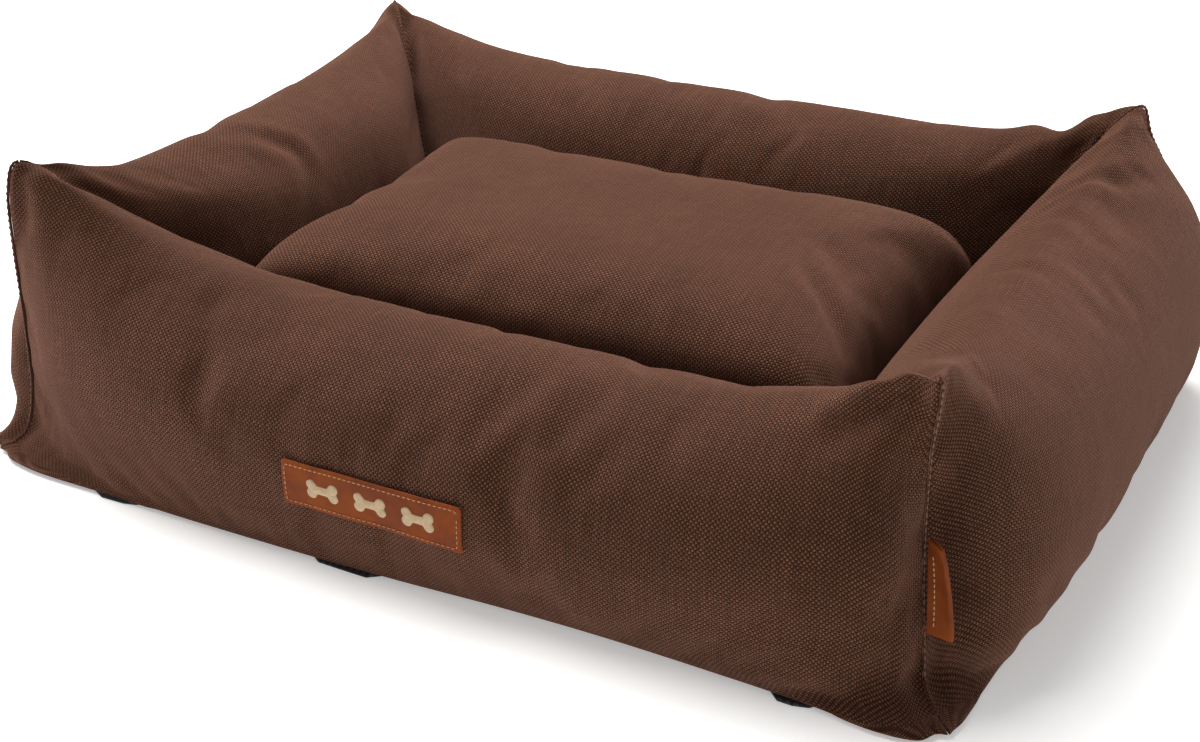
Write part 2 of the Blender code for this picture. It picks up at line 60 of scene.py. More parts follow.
def splineThrough(points, fractions, tension=0.5):
    # Catmull-Rom through the points; fraction 2.25 is a quarter of the way from point 2 to 3
    pts = np.array(points, float)
    ends = np.vstack([2 * pts[0] - pts[1], pts, 2 * pts[-1] - pts[-2]])
    fractions = np.asarray(fractions, float)
    step = np.clip(fractions.astype(int), 0, len(pts) - 2)
    t = (fractions - step)[:, None]
    p0, p1, p2, p3 = (ends[step + k] for k in range(4))
    m1, m2 = (p2 - p0) * tension, (p3 - p1) * tension
    return ((2 * t**3 - 3 * t**2 + 1) * p1 + (t**3 - 2 * t**2 + t) * m1
            + (3 * t**2 - 2 * t**3) * p2 + (t**3 - t**2) * m2)


def curveValue(pairs, where):
    # Smooth value at each place from a short list of (place, value)
    places, values = np.array(pairs, float).T
    slopes = np.gradient(values, places)
    k = np.clip(np.searchsorted(places, where) - 1, 0, len(places) - 2)
    span = places[k + 1] - places[k]
    t = np.clip((where - places[k]) / span, 0.0, 1.0)
    return ((2 * t**3 - 3 * t**2 + 1) * values[k] + (t**3 - 2 * t**2 + t) * slopes[k] * span
            + (3 * t**2 - 2 * t**3) * values[k + 1] + (t**3 - t**2) * slopes[k + 1] * span)


def makeObject(name, points, faces, material, uvs=None):
    mesh = bpy.data.meshes.new(name)
    mesh.from_pydata([tuple(map(float, p)) for p in points], [], [tuple(map(int, f)) for f in faces])
    if uvs is not None:
        layer = mesh.uv_layers.new(name="weave")
        layer.data.foreach_set("uv", np.asarray(uvs, float).ravel())
    mesh.shade_smooth()
    mesh.update()
    piece = bpy.data.objects.new(name, mesh)
    bpy.context.scene.collection.objects.link(piece)
    mesh.materials.append(material)
    return piece


def gridFaces(columns, rows, closed=False, skip=None):
    faces = []
    for c in range(columns - 1):
        for r in range(rows if closed else rows - 1):
            if skip is None or not skip(c, r):
                above = (r + 1) % rows
                faces.append((c * rows + r, (c + 1) * rows + r, (c + 1) * rows + above, c * rows + above))
    return faces


def bandFaces(loops):
    # Quads between each loop of point numbers and the next one
    faces = []
    for a, b in zip(loops[:-1], loops[1:]):
        for n in range(len(a)):
            after = (n + 1) % len(a)
            faces.append((a[n], b[n], b[after], a[after]))
    return faces


def lengthsAlong(grid, axis):
    # Metres from the first point of each line of a grid
    steps = np.linalg.norm(np.diff(grid, axis=axis), axis=-1)
    return np.insert(np.cumsum(steps, axis), 0, 0.0, axis)


def applyModifiers(piece):
    bpy.context.view_layer.update()
    graph = bpy.context.evaluated_depsgraph_get()
    mesh = bpy.data.meshes.new_from_object(piece.evaluated_get(graph), depsgraph=graph)
    piece.modifiers.clear()
    old, piece.data = piece.data, mesh
    name = old.name
    bpy.data.meshes.remove(old)
    mesh.name = name
    mesh.shade_smooth()


def thicken(piece, thickness, offset=-1.0, levels=0, bevel=0.0):
    # Cloth or leather of real thickness, with rounded cut edges or one level of smoothing
    if thickness:
        solid = piece.modifiers.new("thickness", "SOLIDIFY")
        solid.thickness = thickness
        solid.offset = offset
    if bevel:
        edge = piece.modifiers.new("edge", "BEVEL")
        edge.width = bevel
        edge.segments = 2
        edge.limit_method = "ANGLE"
    if levels:
        smooth = piece.modifiers.new("smooth", "SUBSURF")
        smooth.levels = smooth.render_levels = levels
        smooth.boundary_smooth = "PRESERVE_CORNERS"
    applyModifiers(piece)


def finishPiece(piece, body, slotName, *nodes):
    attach(piece, body)
    if nodes:
        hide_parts(*nodes)
    return piece


# Materials
class NodeSheet:
    # Short way to write a material's node tree
    def __init__(self, name):
        self.material = bpy.data.materials.new(name)
        self.material.use_nodes = True
        self.tree = self.material.node_tree
        self.shader = self.tree.nodes["Principled BSDF"]

    def add(self, kind, settings=None, **inputs):
        node = self.tree.nodes.new(kind)
        for key, value in (settings or {}).items():
            setattr(node, key, value)
        for key, value in inputs.items():
            self.feed(node.inputs[key.replace("_", " ")], value)
        return node

    def feed(self, socket, value):
        if isinstance(value, bpy.types.NodeSocket):
            self.tree.links.new(value, socket)
        elif isinstance(value, bpy.types.Node):
            self.tree.links.new(value.outputs[0], socket)
        else:
            socket.default_value = value

    def math(self, operation, first, second=0.0, clamp=False):
        node = self.add("ShaderNodeMath", {"operation": operation, "use_clamp": clamp})
        self.feed(node.inputs[0], first)
        self.feed(node.inputs[1], second)
        return node

    def remap(self, value, low, high, toLow=0.0, toHigh=1.0):
        node = self.add("ShaderNodeMapRange", {"interpolation_type": "SMOOTHSTEP"})
        for socket, item in zip(node.inputs[:5], (value, low, high, toLow, toHigh)):
            self.feed(socket, item)
        return node

    def mix(self, factor, first, second, blend="MIX"):
        node = self.add("ShaderNodeMix", {"data_type": "RGBA", "blend_type": blend})
        for socket, item in zip((node.inputs[0], node.inputs[6], node.inputs[7]), (factor, first, second)):
            self.feed(socket, item)
        return node.outputs[2]

    def noise(self, where, scale, detail=2.0, roughness=0.5):
        node = self.add("ShaderNodeTexNoise", Vector=where, Scale=scale, Detail=detail, Roughness=roughness)
        return node.outputs[0]

    def scaled(self, where, size):
        node = self.add("ShaderNodeVectorMath", {"operation": "MULTIPLY"})
        self.feed(node.inputs[0], where)
        node.inputs[1].default_value = size
        return node.outputs[0]

    def bump(self, height, distance, strength=1.0, normal=None):
        node = self.add("ShaderNodeBump", Height=height, Distance=distance, Strength=strength)
        if normal is not None:
            self.feed(node.inputs["Normal"], normal)
        return node.outputs[0]

    def set(self, **values):
        for key, value in values.items():
            self.feed(self.shader.inputs[key.replace("_", " ")], value)
        return self.material


canvasLook = {
    "yarnPitch": 0.00140,            # distance between neighbouring yarns
    "warp": (0.0330, 0.0122, 0.0064, 1.0),   # dark yarn
    "weft": (0.1780, 0.0780, 0.0430, 1.0),   # lighter yarn that shows as dots
    "dotEdge": (0.08, 0.72),
    "bumpHeight": 0.00050,
    "roughness": 0.92,
    "sheen": 0.42,
    "sheenTint": (1.0, 0.52, 0.39, 1.0),
    "sheenRoughness": 0.45,
    "specular": 0.06,
}


def canvasMaterial(name, look, tint=1.0, coordinates="weave"):
    s = NodeSheet(name)
    if coordinates == "weave":
        flat = s.add("ShaderNodeUVMap", {"uv_map": "weave"}).outputs[0]
    else:
        flat = s.add("ShaderNodeTexCoord").outputs["Object"]
    place = s.add("ShaderNodeTexCoord").outputs["Object"]
    pitch = look["yarnPitch"]
    drift = s.noise(place, 9.0, 2.0)                 # yarns never run quite straight
    driftVector = s.scaled(s.add("ShaderNodeCombineXYZ", X=drift, Y=drift), (0.9, 0.7, 0.0))
    cells = s.add("ShaderNodeVectorMath", {"operation": "ADD"})
    s.feed(cells.inputs[0], s.scaled(flat, (1 / pitch, 1 / pitch, 0.0)))
    s.feed(cells.inputs[1], driftVector)
    axes = s.add("ShaderNodeSeparateXYZ", Vector=cells.outputs[0])
    waveA = s.math("SINE", s.math("MULTIPLY", axes.outputs[0], math.pi))
    waveB = s.math("SINE", s.math("MULTIPLY", axes.outputs[1], math.pi))
    over = s.math("MULTIPLY", waveA, waveB)          # above 0 the light yarn is on top
    height = s.math("POWER", s.math("ABSOLUTE", over), 0.55)
    weftSlub = s.noise(s.scaled(cells.outputs[0], (0.045, 0.93, 0.0)), 1.0, 2.0, 0.6)
    warpSlub = s.noise(s.scaled(cells.outputs[0], (0.93, 0.045, 0.0)), 1.0, 2.0, 0.6)
    fluff = s.noise(s.scaled(cells.outputs[0], (0.9, 0.9, 0.0)), 1.0, 3.0, 0.7)
    patches = s.noise(place, 14.0, 3.0, 0.55)
    dots = s.remap(over, look["dotEdge"][0], look["dotEdge"][1])
    dotStrength = s.math("MULTIPLY", dots, s.remap(weftSlub, 0.30, 0.72, 0.55, 1.15), clamp=True)
    colour = s.mix(dotStrength, look["warp"], look["weft"])
    fluffShade = s.remap(fluff, 0.2, 0.8, 0.80, 1.20)
    shade = s.math("MULTIPLY", s.remap(warpSlub, 0.30, 0.72, 0.80, 1.22), fluffShade)
    shade = s.math("MULTIPLY", shade, s.remap(patches, 0.30, 0.70, 0.90 * tint, 1.10 * tint))
    shadeColour = s.add("ShaderNodeCombineXYZ", X=shade, Y=shade, Z=shade).outputs[0]
    colour = s.mix(1.0, colour, shadeColour, "MULTIPLY")
    fuzz = s.noise(place, 2600.0, 2.0, 0.7)
    relief = s.math("ADD", height, s.math("MULTIPLY", fuzz, 0.35))
    relief = s.math("ADD", relief, s.math("MULTIPLY", warpSlub, 0.5))
    soft = s.bump(s.noise(place, 42.0, 3.0, 0.55), 0.0030, 0.35)
    normal = s.bump(relief, look["bumpHeight"], 0.9, soft)
    return s.set(Base_Color=colour, Roughness=look["roughness"], Normal=normal,
                 Sheen_Weight=look["sheen"], Sheen_Tint=look["sheenTint"],
                 Sheen_Roughness=look["sheenRoughness"], Specular_IOR_Level=look["specular"])


def leatherMaterial(name):
    s = NodeSheet(name)
    place = s.add("ShaderNodeTexCoord").outputs["Object"]
    grain = s.add("ShaderNodeTexVoronoi", {"feature": "DISTANCE_TO_EDGE"}, Vector=place, Scale=1500.0)
    pores = s.noise(place, 3200.0, 2.0, 0.6)
    clouds = s.noise(place, 60.0, 4.0, 0.6)
    colour = s.mix(s.remap(clouds, 0.30, 0.72), (0.165, 0.030, 0.0030, 1.0), (0.255, 0.056, 0.0065, 1.0))
    colour = s.mix(s.remap(grain.outputs[0], 0.0, 0.05, 0.35, 0.0), colour, (0.110, 0.022, 0.006, 1.0))
    relief = s.math("ADD", s.remap(grain.outputs[0], 0.0, 0.07), s.math("MULTIPLY", pores, 0.4))
    return s.set(Base_Color=colour, Roughness=s.remap(clouds, 0.3, 0.7, 0.50, 0.66), Specular_IOR_Level=0.16,
                 Normal=s.bump(relief, 0.00012, 0.7))


def threadMaterial(name, colour):
    s = NodeSheet(name)
    place = s.add("ShaderNodeTexCoord").outputs["Object"]
    strands = s.noise(s.scaled(place, (900.0, 900.0, 5200.0)), 1.0, 2.0, 0.6)
    tone = s.noise(place, 400.0, 2.0)
    dark = tuple(0.68 * c for c in colour) + (1.0,)
    share = s.remap(s.math("MULTIPLY", strands, s.math("ADD", tone, 0.5)), 0.25, 0.75)
    mixed = s.mix(share, dark, colour + (1.0,))
    return s.set(Base_Color=mixed, Roughness=0.72, Sheen_Weight=0.3, Sheen_Roughness=0.4,
                 Normal=s.bump(strands, 0.00025, 0.8))


def nonSlipMaterial(name):
    s = NodeSheet(name)
    place = s.add("ShaderNodeTexCoord").outputs["Object"]
    dots = s.add("ShaderNodeTexVoronoi", {"feature": "F1"}, Vector=s.scaled(place, (1.0, 1.0, 0.0)),
                 Scale=230.0, Randomness=0.0)
    raised = s.remap(dots.outputs[0], 0.22, 0.36, 1.0, 0.0)
    fibre = s.noise(place, 1800.0, 3.0, 0.7)
    colour = s.mix(raised, (0.006, 0.006, 0.007, 1.0), (0.016, 0.016, 0.018, 1.0))
    relief = s.math("ADD", raised, s.math("MULTIPLY", fibre, 0.3))
    return s.set(Base_Color=colour, Roughness=s.remap(raised, 0.0, 1.0, 0.92, 0.55),
                 Normal=s.bump(relief, 0.0005, 0.8))


def fibreMaterial(name):
    s = NodeSheet(name)
    place = s.add("ShaderNodeTexCoord").outputs["Object"]
    strands = s.noise(s.scaled(place, (260.0, 260.0, 900.0)), 1.0, 5.0, 0.75)
    lumps = s.noise(place, 35.0, 3.0)
    colour = s.mix(s.remap(strands, 0.3, 0.7), (0.62, 0.61, 0.58, 1.0), (0.86, 0.85, 0.82, 1.0))
    relief = s.math("ADD", strands, s.math("MULTIPLY", lumps, 2.0))
    return s.set(Base_Color=colour, Roughness=0.95, Sheen_Weight=0.4, Normal=s.bump(relief, 0.002, 0.8),
                 Subsurface_Weight=0.15, Subsurface_Radius=(0.004, 0.004, 0.004))


def tapeMaterial(name):
    s = NodeSheet(name)
    place = s.add("ShaderNodeTexCoord").outputs["Object"]
    ribs = s.add("ShaderNodeTexWave", {"wave_profile": "SIN", "bands_direction": "DIAGONAL"}, Vector=place,
                 Scale=420.0, Distortion=0.6)
    yarn = s.noise(place, 1900.0, 2.0, 0.6)
    colour = s.mix(ribs.outputs[0], (0.022, 0.0105, 0.0075, 1.0), (0.062, 0.032, 0.024, 1.0))
    relief = s.math("ADD", ribs.outputs[0], s.math("MULTIPLY", yarn, 0.5))
    return s.set(Base_Color=colour, Roughness=0.8, Sheen_Weight=0.25, Normal=s.bump(relief, 0.0003, 0.8))


def metalMaterial(name):
    s = NodeSheet(name)
    place = s.add("ShaderNodeTexCoord").outputs["Object"]
    wear = s.noise(place, 700.0, 4.0, 0.65)
    colour = s.mix(s.remap(wear, 0.45, 0.75), (0.100, 0.072, 0.050, 1.0), (0.260, 0.205, 0.150, 1.0))
    return s.set(Base_Color=colour, Metallic=1.0, Roughness=s.remap(wear, 0.3, 0.8, 0.26, 0.46),
                 Normal=s.bump(wear, 0.00008, 0.5))


def floorMaterial(name):
    s = NodeSheet(name)
    place = s.add("ShaderNodeTexCoord").outputs["Object"]
    tone = s.remap(s.noise(place, 2.0, 2.0), 0.3, 0.7)
    colour = s.mix(tone, (0.905, 0.905, 0.900, 1.0), (0.925, 0.925, 0.920, 1.0))
    return s.set(Base_Color=colour, Roughness=0.9, Specular_IOR_Level=0.1,
                 Emission_Color=(1.0, 1.0, 1.0, 1.0), Emission_Strength=0.34)


canvas = canvasMaterial("wallCanvas", canvasLook)
cushionCanvas = canvasMaterial("cushionCanvas", canvasLook, tint=1.04)
seamCanvas = canvasMaterial("seamCanvas", canvasLook, tint=1.5, coordinates="object")
leather = leatherMaterial("cognacLeather")
creamThread = threadMaterial("creamThread", (0.63, 0.46, 0.27))
tanThread = threadMaterial("tanThread", (0.60, 0.27, 0.12))
brownThread = threadMaterial("brownThread", (0.20, 0.115, 0.085))
nonSlip = nonSlipMaterial("blackNonSlip")
fibre = fibreMaterial("whiteFibre")
zipTape = tapeMaterial("brownZipTape")
zipMetal = metalMaterial("darkZipMetal")
paleFloor = floorMaterial("paleFloor")
print("materials made")


# Walls
# d is the distance in from the base line, u runs from -1 at a wall's left end to 1 at its right
wallShape = {
    "canvas": 0.0010,                # thickness of the cloth
    "columnStep": 0.0062,
    "foot": 0.100,                   # width at the floor, where the zip's flat face stands
    "hemHeight": 0.0012,
    "underside": 0.0042,
    "zipRows": (0.0265, 0.0175),     # upper and lower edge of the zip's opening
    "facetTop": 0.040,
    "seamGap": 0.00015,
    "turnRows": (3.0, 5.2),          # where the outer side's shape gives way to the ridge's
}
wallData = {
    "front": {
        "span": 0.600, "place": (0.0, -0.220), "turn": 0.0, "zipHalf": 0.170,
        "ridge": 0.127, "swell": 0.016, "thick": 0.106,
        "power": (4.5, 8.0), "rise": (3.8, 4.2), "inner": (5.0, 6.0),
        "shoulder": 0.96,
        "corners": ("frontLeft", "frontRight"),
        "hem": [(-1.0, -0.002), (-0.88, -0.010), (-0.67, -0.0125), (-0.22, -0.0125), (0.0, -0.010),
                (0.19, -0.007), (0.39, -0.006), (0.58, -0.007), (0.76, -0.010), (0.86, -0.0135),
                (0.94, -0.010), (1.0, -0.002)],
    },
    "right": {
        "span": 0.440, "place": (0.300, 0.0), "turn": math.pi / 2, "zipHalf": 0.090,
        "ridge": 0.1620, "swell": 0.0285, "thick": 0.080,
        "power": (4.2, 8.5), "rise": (4.0, 3.3), "inner": (9.0, 3.6),
        "shoulder": 0.90, "lowFill": 1.2,
        "corners": ("frontRight", "backRight"),
        "hem": [(-1.0, -0.002), (-0.8, -0.004), (-0.4, -0.007), (0.0, -0.008), (0.5, -0.010),
                (0.8, -0.013), (1.0, 0.0)],
    },
    "back": {
        "span": 0.600, "place": (0.0, 0.220), "turn": math.pi, "zipHalf": 0.170,
        "ridge": 0.1590, "swell": 0.015, "thick": 0.108,
        "power": (5.0, 5.0), "rise": (7.0, 6.0), "inner": (6.0, 6.0),
        "shoulder": 0.96,
        "corners": ("backRight", "backLeft"),
        "hem": [(-1.0, 0.0), (-0.6, -0.005), (0.0, -0.004), (0.6, -0.005), (1.0, 0.0)],
    },
    "left": {
        "span": 0.440, "place": (-0.300, 0.0), "turn": -math.pi / 2, "zipHalf": 0.090,
        "ridge": 0.1590, "swell": 0.015, "thick": 0.108,
        "power": (5.0, 9.5), "rise": (4.0, 5.0), "inner": (8.0, 5.0),
        "shoulder": 0.96, "turnRows": (2.2, 3.7),
        "corners": ("backLeft", "frontLeft"),
        "hem": [(-1.0, 0.0), (-0.6, -0.005), (0.0, -0.004), (0.6, -0.007), (0.86, -0.013),
                (0.94, -0.012), (1.0, 0.0)],
    },
}
# Corner seams: inset from the base corner and height, from the hem up to the ear's tip
cornerData = {
    "frontRight": {"seam": [(-0.002, 0.0012), (0.018, 0.010), (0.0222, 0.033), (0.0274, 0.083),
                            (0.0284, 0.132), (0.0262, 0.163), (0.0275, 0.1735)]},
    "frontLeft": {"seam": [(0.0015, 0.0012), (0.0125, 0.010), (0.0175, 0.034), (0.0183, 0.082),
                           (0.0184, 0.132), (0.0200, 0.166), (0.0262, 0.1825)]},
    "backLeft": {"seam": [(0.0, 0.0012), (0.002, 0.012), (0.003, 0.036), (0.0045, 0.083),
                          (0.008, 0.132), (0.0185, 0.163), (0.0285, 0.1755)]},
    "backRight": {"seam": [(0.0, 0.0012), (0.0, 0.012), (-0.001, 0.036), (0.001, 0.083),
                           (0.0105, 0.134), (0.0230, 0.165), (0.0305, 0.1842)]},
}


def placed(place, turn):
    return Matrix.Translation((*place, 0.0)) @ Matrix.Rotation(turn, 4, "Z")


def wallFrame(data):
    return placed(data["place"], data["turn"])


def moved(points, matrix):
    m = np.array(matrix)
    return points @ m[:3, :3].T + m[:3, 3]


def wallColumns(data):
    # Shares of the half length, even along the ridge, with columns at the zip's ends
    slot = data["zipHalf"] / (data["span"] / 2 - wallShape["foot"])
    count = int(round(data["span"] / 2 / wallShape["columnStep"]))
    share = np.linspace(0.0, 1.0, count + 1)
    share = 1.0 - (1.0 - share) ** 1.15
    share[np.argmin(abs(share - slot))] = slot
    return np.concatenate([-share[:0:-1], share])


def middleSection(data):
    h, o, t = data["ridge"], data["swell"], data["thick"]
    foot = wallShape["foot"]
    belly = max(1.04 * t, foot + 0.008)
    full = data["shoulder"]
    low = data.get("lowFill", 1.0) * o
    return [(0.0, wallShape["hemHeight"]), (-0.42 * low, 0.07 * h), (-0.78 * low, 0.19 * h), (-o, 0.45 * h),
            (-0.55 * o, 0.72 * h), (0.22 * t, 0.95 * h), (0.52 * t, h), (0.86 * t, 0.84 * h),
            (full * belly, (0.66 - 0.9 * (0.96 - full)) * h), (belly, (0.50 - (0.96 - full)) * h),
            (foot, wallShape["facetTop"])]


def cornerSection(corner):
    foot = wallShape["foot"]
    seam = corner["seam"]
    inset, height = seam[-1]
    spare = foot - inset
    return seam + [(inset + 0.25 * spare, 0.90 * height), (inset + 0.56 * spare, 0.69 * height),
                   (inset + 0.84 * spare, 0.45 * height), (foot, wallShape["facetTop"])]


# rows of a section: fractions of the control points, then the fixed rows of the inner foot
profileSteps = [2, 3, 6, 6, 5, 5, 5, 5, 4, 5]
profileRows = np.concatenate([i + np.arange(n) / n for i, n in enumerate(profileSteps)]
                             + [[float(len(profileSteps))]])
footRows = [(0.1000, 0.0332), (0.1000, wallShape["zipRows"][0]), (0.1000, wallShape["zipRows"][1]),
            (0.1000, 0.0120), (0.0985, 0.0070), (0.0940, 0.0046), (0.0860, 0.0042), (0.0640, 0.0042),
            (0.0420, 0.0042), (0.0200, 0.0042), (0.0060, 0.0041), (0.0012, 0.0036)]
slotRow = len(profileRows) + 1
rowCount = len(profileRows) + len(footRows)


def roundedOff(blend):
    # Levels out just before the seam, so that an ear is blunt
    full, blunt = 1.22, 12.0
    level = lambda b: -np.log(np.exp(-blunt * full * b) + math.exp(-blunt)) / blunt
    return (level(blend) - level(0.0)) / (level(1.0) - level(0.0))


def wallGrid(data):
    # (column, row, (d, z)) before the cloth is simulated
    us = wallColumns(data)
    control = profileRows
    middle = splineThrough(middleSection(data), control)
    grid = np.zeros((len(us), rowCount, 2))
    for side in (-1, 1):
        corner = splineThrough(cornerSection(cornerData[data["corners"][(side + 1) // 2]]), control)
        power, rise, inner = (data[key][(side + 1) // 2] for key in ("power", "rise", "inner"))
        # outer side, ridge and inner side each keep their middle shape a different way along
        towards = rise + (inner - rise) * smoothStep(5.5, 8.0, control)
        outer = power + (towards - power) * smoothStep(*data.get("turnRows", wallShape["turnRows"]), control)
        here = (us <= 0) if side < 0 else (us >= 0)
        u = np.abs(us[here])[:, None]
        blendD = roundedOff(u ** outer[None, :])
        blendZ = roundedOff(u ** towards[None, :])
        grid[here, :len(control), 0] = middle[:, 0] * (1 - blendD) + corner[:, 0] * blendD
        grid[here, :len(control), 1] = middle[:, 1] * (1 - blendZ) + corner[:, 1] * blendZ
    hem = curveValue(data["hem"], us)
    fade = np.clip(1.0 - control / 2.6, 0.0, 1.0) ** 1.3
    inside = 1.0 - smoothStep(0.93, 1.0, np.abs(us))
    grid[:, :len(control), 0] += (hem * inside)[:, None] * fade[None, :]
    grid[:, len(control):, :] = np.array(footRows)
    grid[:, -1, 0] += hem * inside
    return us, grid


def toWorld(data, us, grid):
    along = us[:, None] * (data["span"] / 2 - grid[:, :, 0])
    return moved(np.stack([along, grid[:, :, 0], grid[:, :, 1]], axis=-1), wallFrame(data))


def ringOfWalls():
    # All four walls as one ring of columns; neighbours share the column on their seam
    blocks, spans, start = [], {}, 0
    for name, data in wallData.items():
        us, grid = wallGrid(data)
        points = toWorld(data, us, grid)
        spans[name] = (start, start + len(us) - 1, us)
        blocks.append(points[:-1])
        start += len(us) - 1
    return np.concatenate(blocks), spans


clothSettings = {
    "frames": 16,
    "pressure": 4.0,
    "spare": -0.035,         # negative shrink: cloth cut larger than the fill
    "cap": 0.010,
    "keepBroad": 0.15,       # share of the broad swelling that is kept
    "keepFine": 1.0,         # share of the puckers
    "tension": 12.0,
    "bending": 0.35,
    "broadPasses": 30,
}


def simulateCloth(name, points, faces, held, settings):
    mesh = bpy.data.meshes.new(name)
    mesh.from_pydata(points.tolist(), [], faces)
    mesh.update()
    piece = bpy.data.objects.new(name, mesh)
    bpy.context.scene.collection.objects.link(piece)
    group = piece.vertex_groups.new(name="held")
    group.add([int(i) for i in np.nonzero(held > 0.5)[0]], 1.0, "REPLACE")
    cloth = piece.modifiers.new("cloth", "CLOTH")
    kind = cloth.settings
    values = {
        "quality": 4, "mass": 0.25, "vertex_group_mass": "held", "pin_stiffness": 1.0,
        "tension_stiffness": settings["tension"], "compression_stiffness": settings["tension"],
        "shear_stiffness": 3.0, "bending_stiffness": settings["bending"],
        "shrink_min": settings["spare"],
        "use_pressure": True, "uniform_pressure_force": settings["pressure"],
    }
    for key, value in values.items():
        setattr(kind, key, value)
    kind.effector_weights.gravity = 0.0
    cloth.point_cache.frame_start = 1
    cloth.point_cache.frame_end = settings["frames"]
    cloth.collision_settings.use_collision = False
    scene = bpy.context.scene
    for number in range(1, settings["frames"] + 1):
        scene.frame_set(number)
    graph = bpy.context.evaluated_depsgraph_get()
    result = piece.evaluated_get(graph).data
    settled = np.zeros(len(points) * 3)
    result.vertices.foreach_get("co", settled)
    scene.frame_set(1)
    bpy.data.objects.remove(piece, do_unlink=True)
    bpy.data.meshes.remove(mesh)
    return settled.reshape(-1, 3)


def blurGrid(values, passes, closed=(True, True)):
    for _ in range(passes):
        for axis in (0, 1):
            pad = [(0, 0)] * values.ndim
            pad[axis] = (1, 1)
            wide = np.pad(values, pad, mode="wrap" if closed[axis] else "edge")
            count = values.shape[axis]
            before, after = (np.take(wide, range(k, k + count), axis) for k in (0, 2))
            values = 0.25 * before + 0.5 * values + 0.25 * after
    return values


def puckered(points, settled, settings, closed=(True, True)):
    # Keeps the folds that the cloth made and only a little of its overall swelling
    shift = settled - points
    broad = blurGrid(shift, settings["broadPasses"], closed)
    shift = broad * settings["keepBroad"] + (shift - broad) * settings["keepFine"]
    length = np.linalg.norm(shift, axis=-1, keepdims=True)
    return points + shift * (settings["cap"] / (settings["cap"] + length))


def gridNormals(points):
    along = np.roll(points, -1, 0) - np.roll(points, 1, 0)
    up = np.roll(points, -1, 1) - np.roll(points, 1, 1)
    normal = np.cross(along, up)
    return normal / np.maximum(np.linalg.norm(normal, axis=-1, keepdims=True), 1e-9)


def creased(points, normals, creases):
    # Each crease: the line it follows, its depth, its width, and how much cloth stands up beside it
    shift = np.zeros(points.shape[:-1])
    for line, depth, width, lip in creases:
        line = np.array(line)
        near = np.full(shift.shape, np.inf)
        along = np.zeros_like(shift)
        for k, (a, b) in enumerate(zip(line[:-1], line[1:])):
            t = np.clip(((points - a) @ (b - a)) / ((b - a) @ (b - a)), 0.0, 1.0)
            away = np.linalg.norm(points - a - t[..., None] * (b - a), axis=-1)
            along = np.where(away < near, (k + t) / (len(line) - 1), along)
            near = np.minimum(near, away)
        near /= width
        taper = np.sin(np.pi * (0.06 + 0.88 * along)) ** 0.8
        shift += depth * taper * (lip * np.exp(-(near - 2.0) ** 2) - np.exp(-near**2))
    return points + normals * shift[..., None]


wallCreases = [
    # right wall: folds that hang from the back ear, and arcs over its ridge
    ([(0.240, 0.102, 0.146), (0.256, 0.108, 0.157), (0.274, 0.119, 0.160), (0.2987, 0.185, 0.136)],
     0.0036, 0.0060, 0.5),
    ([(0.243, 0.072, 0.149), (0.2653, 0.0555, 0.1618), (0.282, 0.058, 0.155)], 0.0014, 0.0058, 0.4),
    ([(0.238, -0.002, 0.146), (0.2482, -0.015, 0.1539), (0.2664, -0.0221, 0.1616),
      (0.2808, -0.0132, 0.1541)], 0.0016, 0.0058, 0.4),
    ([(0.2767, 0.0467, 0.1571), (0.2954, 0.0546, 0.1414)], 0.0012, 0.0055, 0.4),
    ([(0.2938, 0.005, 0.143), (0.3104, 0.003, 0.125)], 0.0014, 0.0055, 0.4),
    ([(0.271, 0.006, 0.160), (0.2875, 0.0098, 0.1486), (0.3021, 0.008, 0.1347)], 0.0014, 0.0055, 0.4),
    # right wall: fans out from the front right ear
    ([(0.2747, -0.1628, 0.1634), (0.2913, -0.1385, 0.1433)], 0.0024, 0.0055, 0.6),
    ([(0.2794, -0.1632, 0.1558), (0.2907, -0.1537, 0.1418)], 0.0020, 0.0050, 0.6),
    ([(0.2862, -0.1172, 0.1496), (0.3059, -0.0936, 0.1297)], 0.0014, 0.0060, 0.4),
    # front wall: the fold that runs down from its right ear
    ([(0.2660, -0.1927, 0.1715), (0.2529, -0.1937, 0.1579), (0.2365, -0.1968, 0.1432),
      (0.2180, -0.2025, 0.1290)], 0.0040, 0.0062, 0.6),
    ([(0.2552, -0.1899, 0.168), (0.2472, -0.1926, 0.158)], 0.0016, 0.0050, 0.4),
    ([(-0.1455, -0.1989, 0.1237), (-0.1345, -0.1883, 0.1289)], 0.0012, 0.0060, 0.4),
    # left wall
    ([(-0.2454, -0.0485, 0.1591), (-0.2277, -0.0299, 0.1507), (-0.2133, -0.017, 0.1394),
      (-0.2044, -0.0208, 0.1301)], 0.0030, 0.0058, 0.6),
    ([(-0.2030, -0.0220, 0.128), (-0.1965, -0.040, 0.108)], 0.0022, 0.0058, 0.5),
    ([(-0.2560, -0.149, 0.168), (-0.2431, -0.1521, 0.1541)], 0.0022, 0.0055, 0.5),
    ([(-0.2520, -0.121, 0.165), (-0.2346, -0.1291, 0.1532)], 0.0018, 0.0055, 0.5),
    # back wall: dips before it climbs to its right ear
    ([(0.226, 0.205, 0.154), (0.2285, 0.180, 0.1640), (0.2352, 0.1619, 0.1525)], 0.0100, 0.0105, 0.20),
]

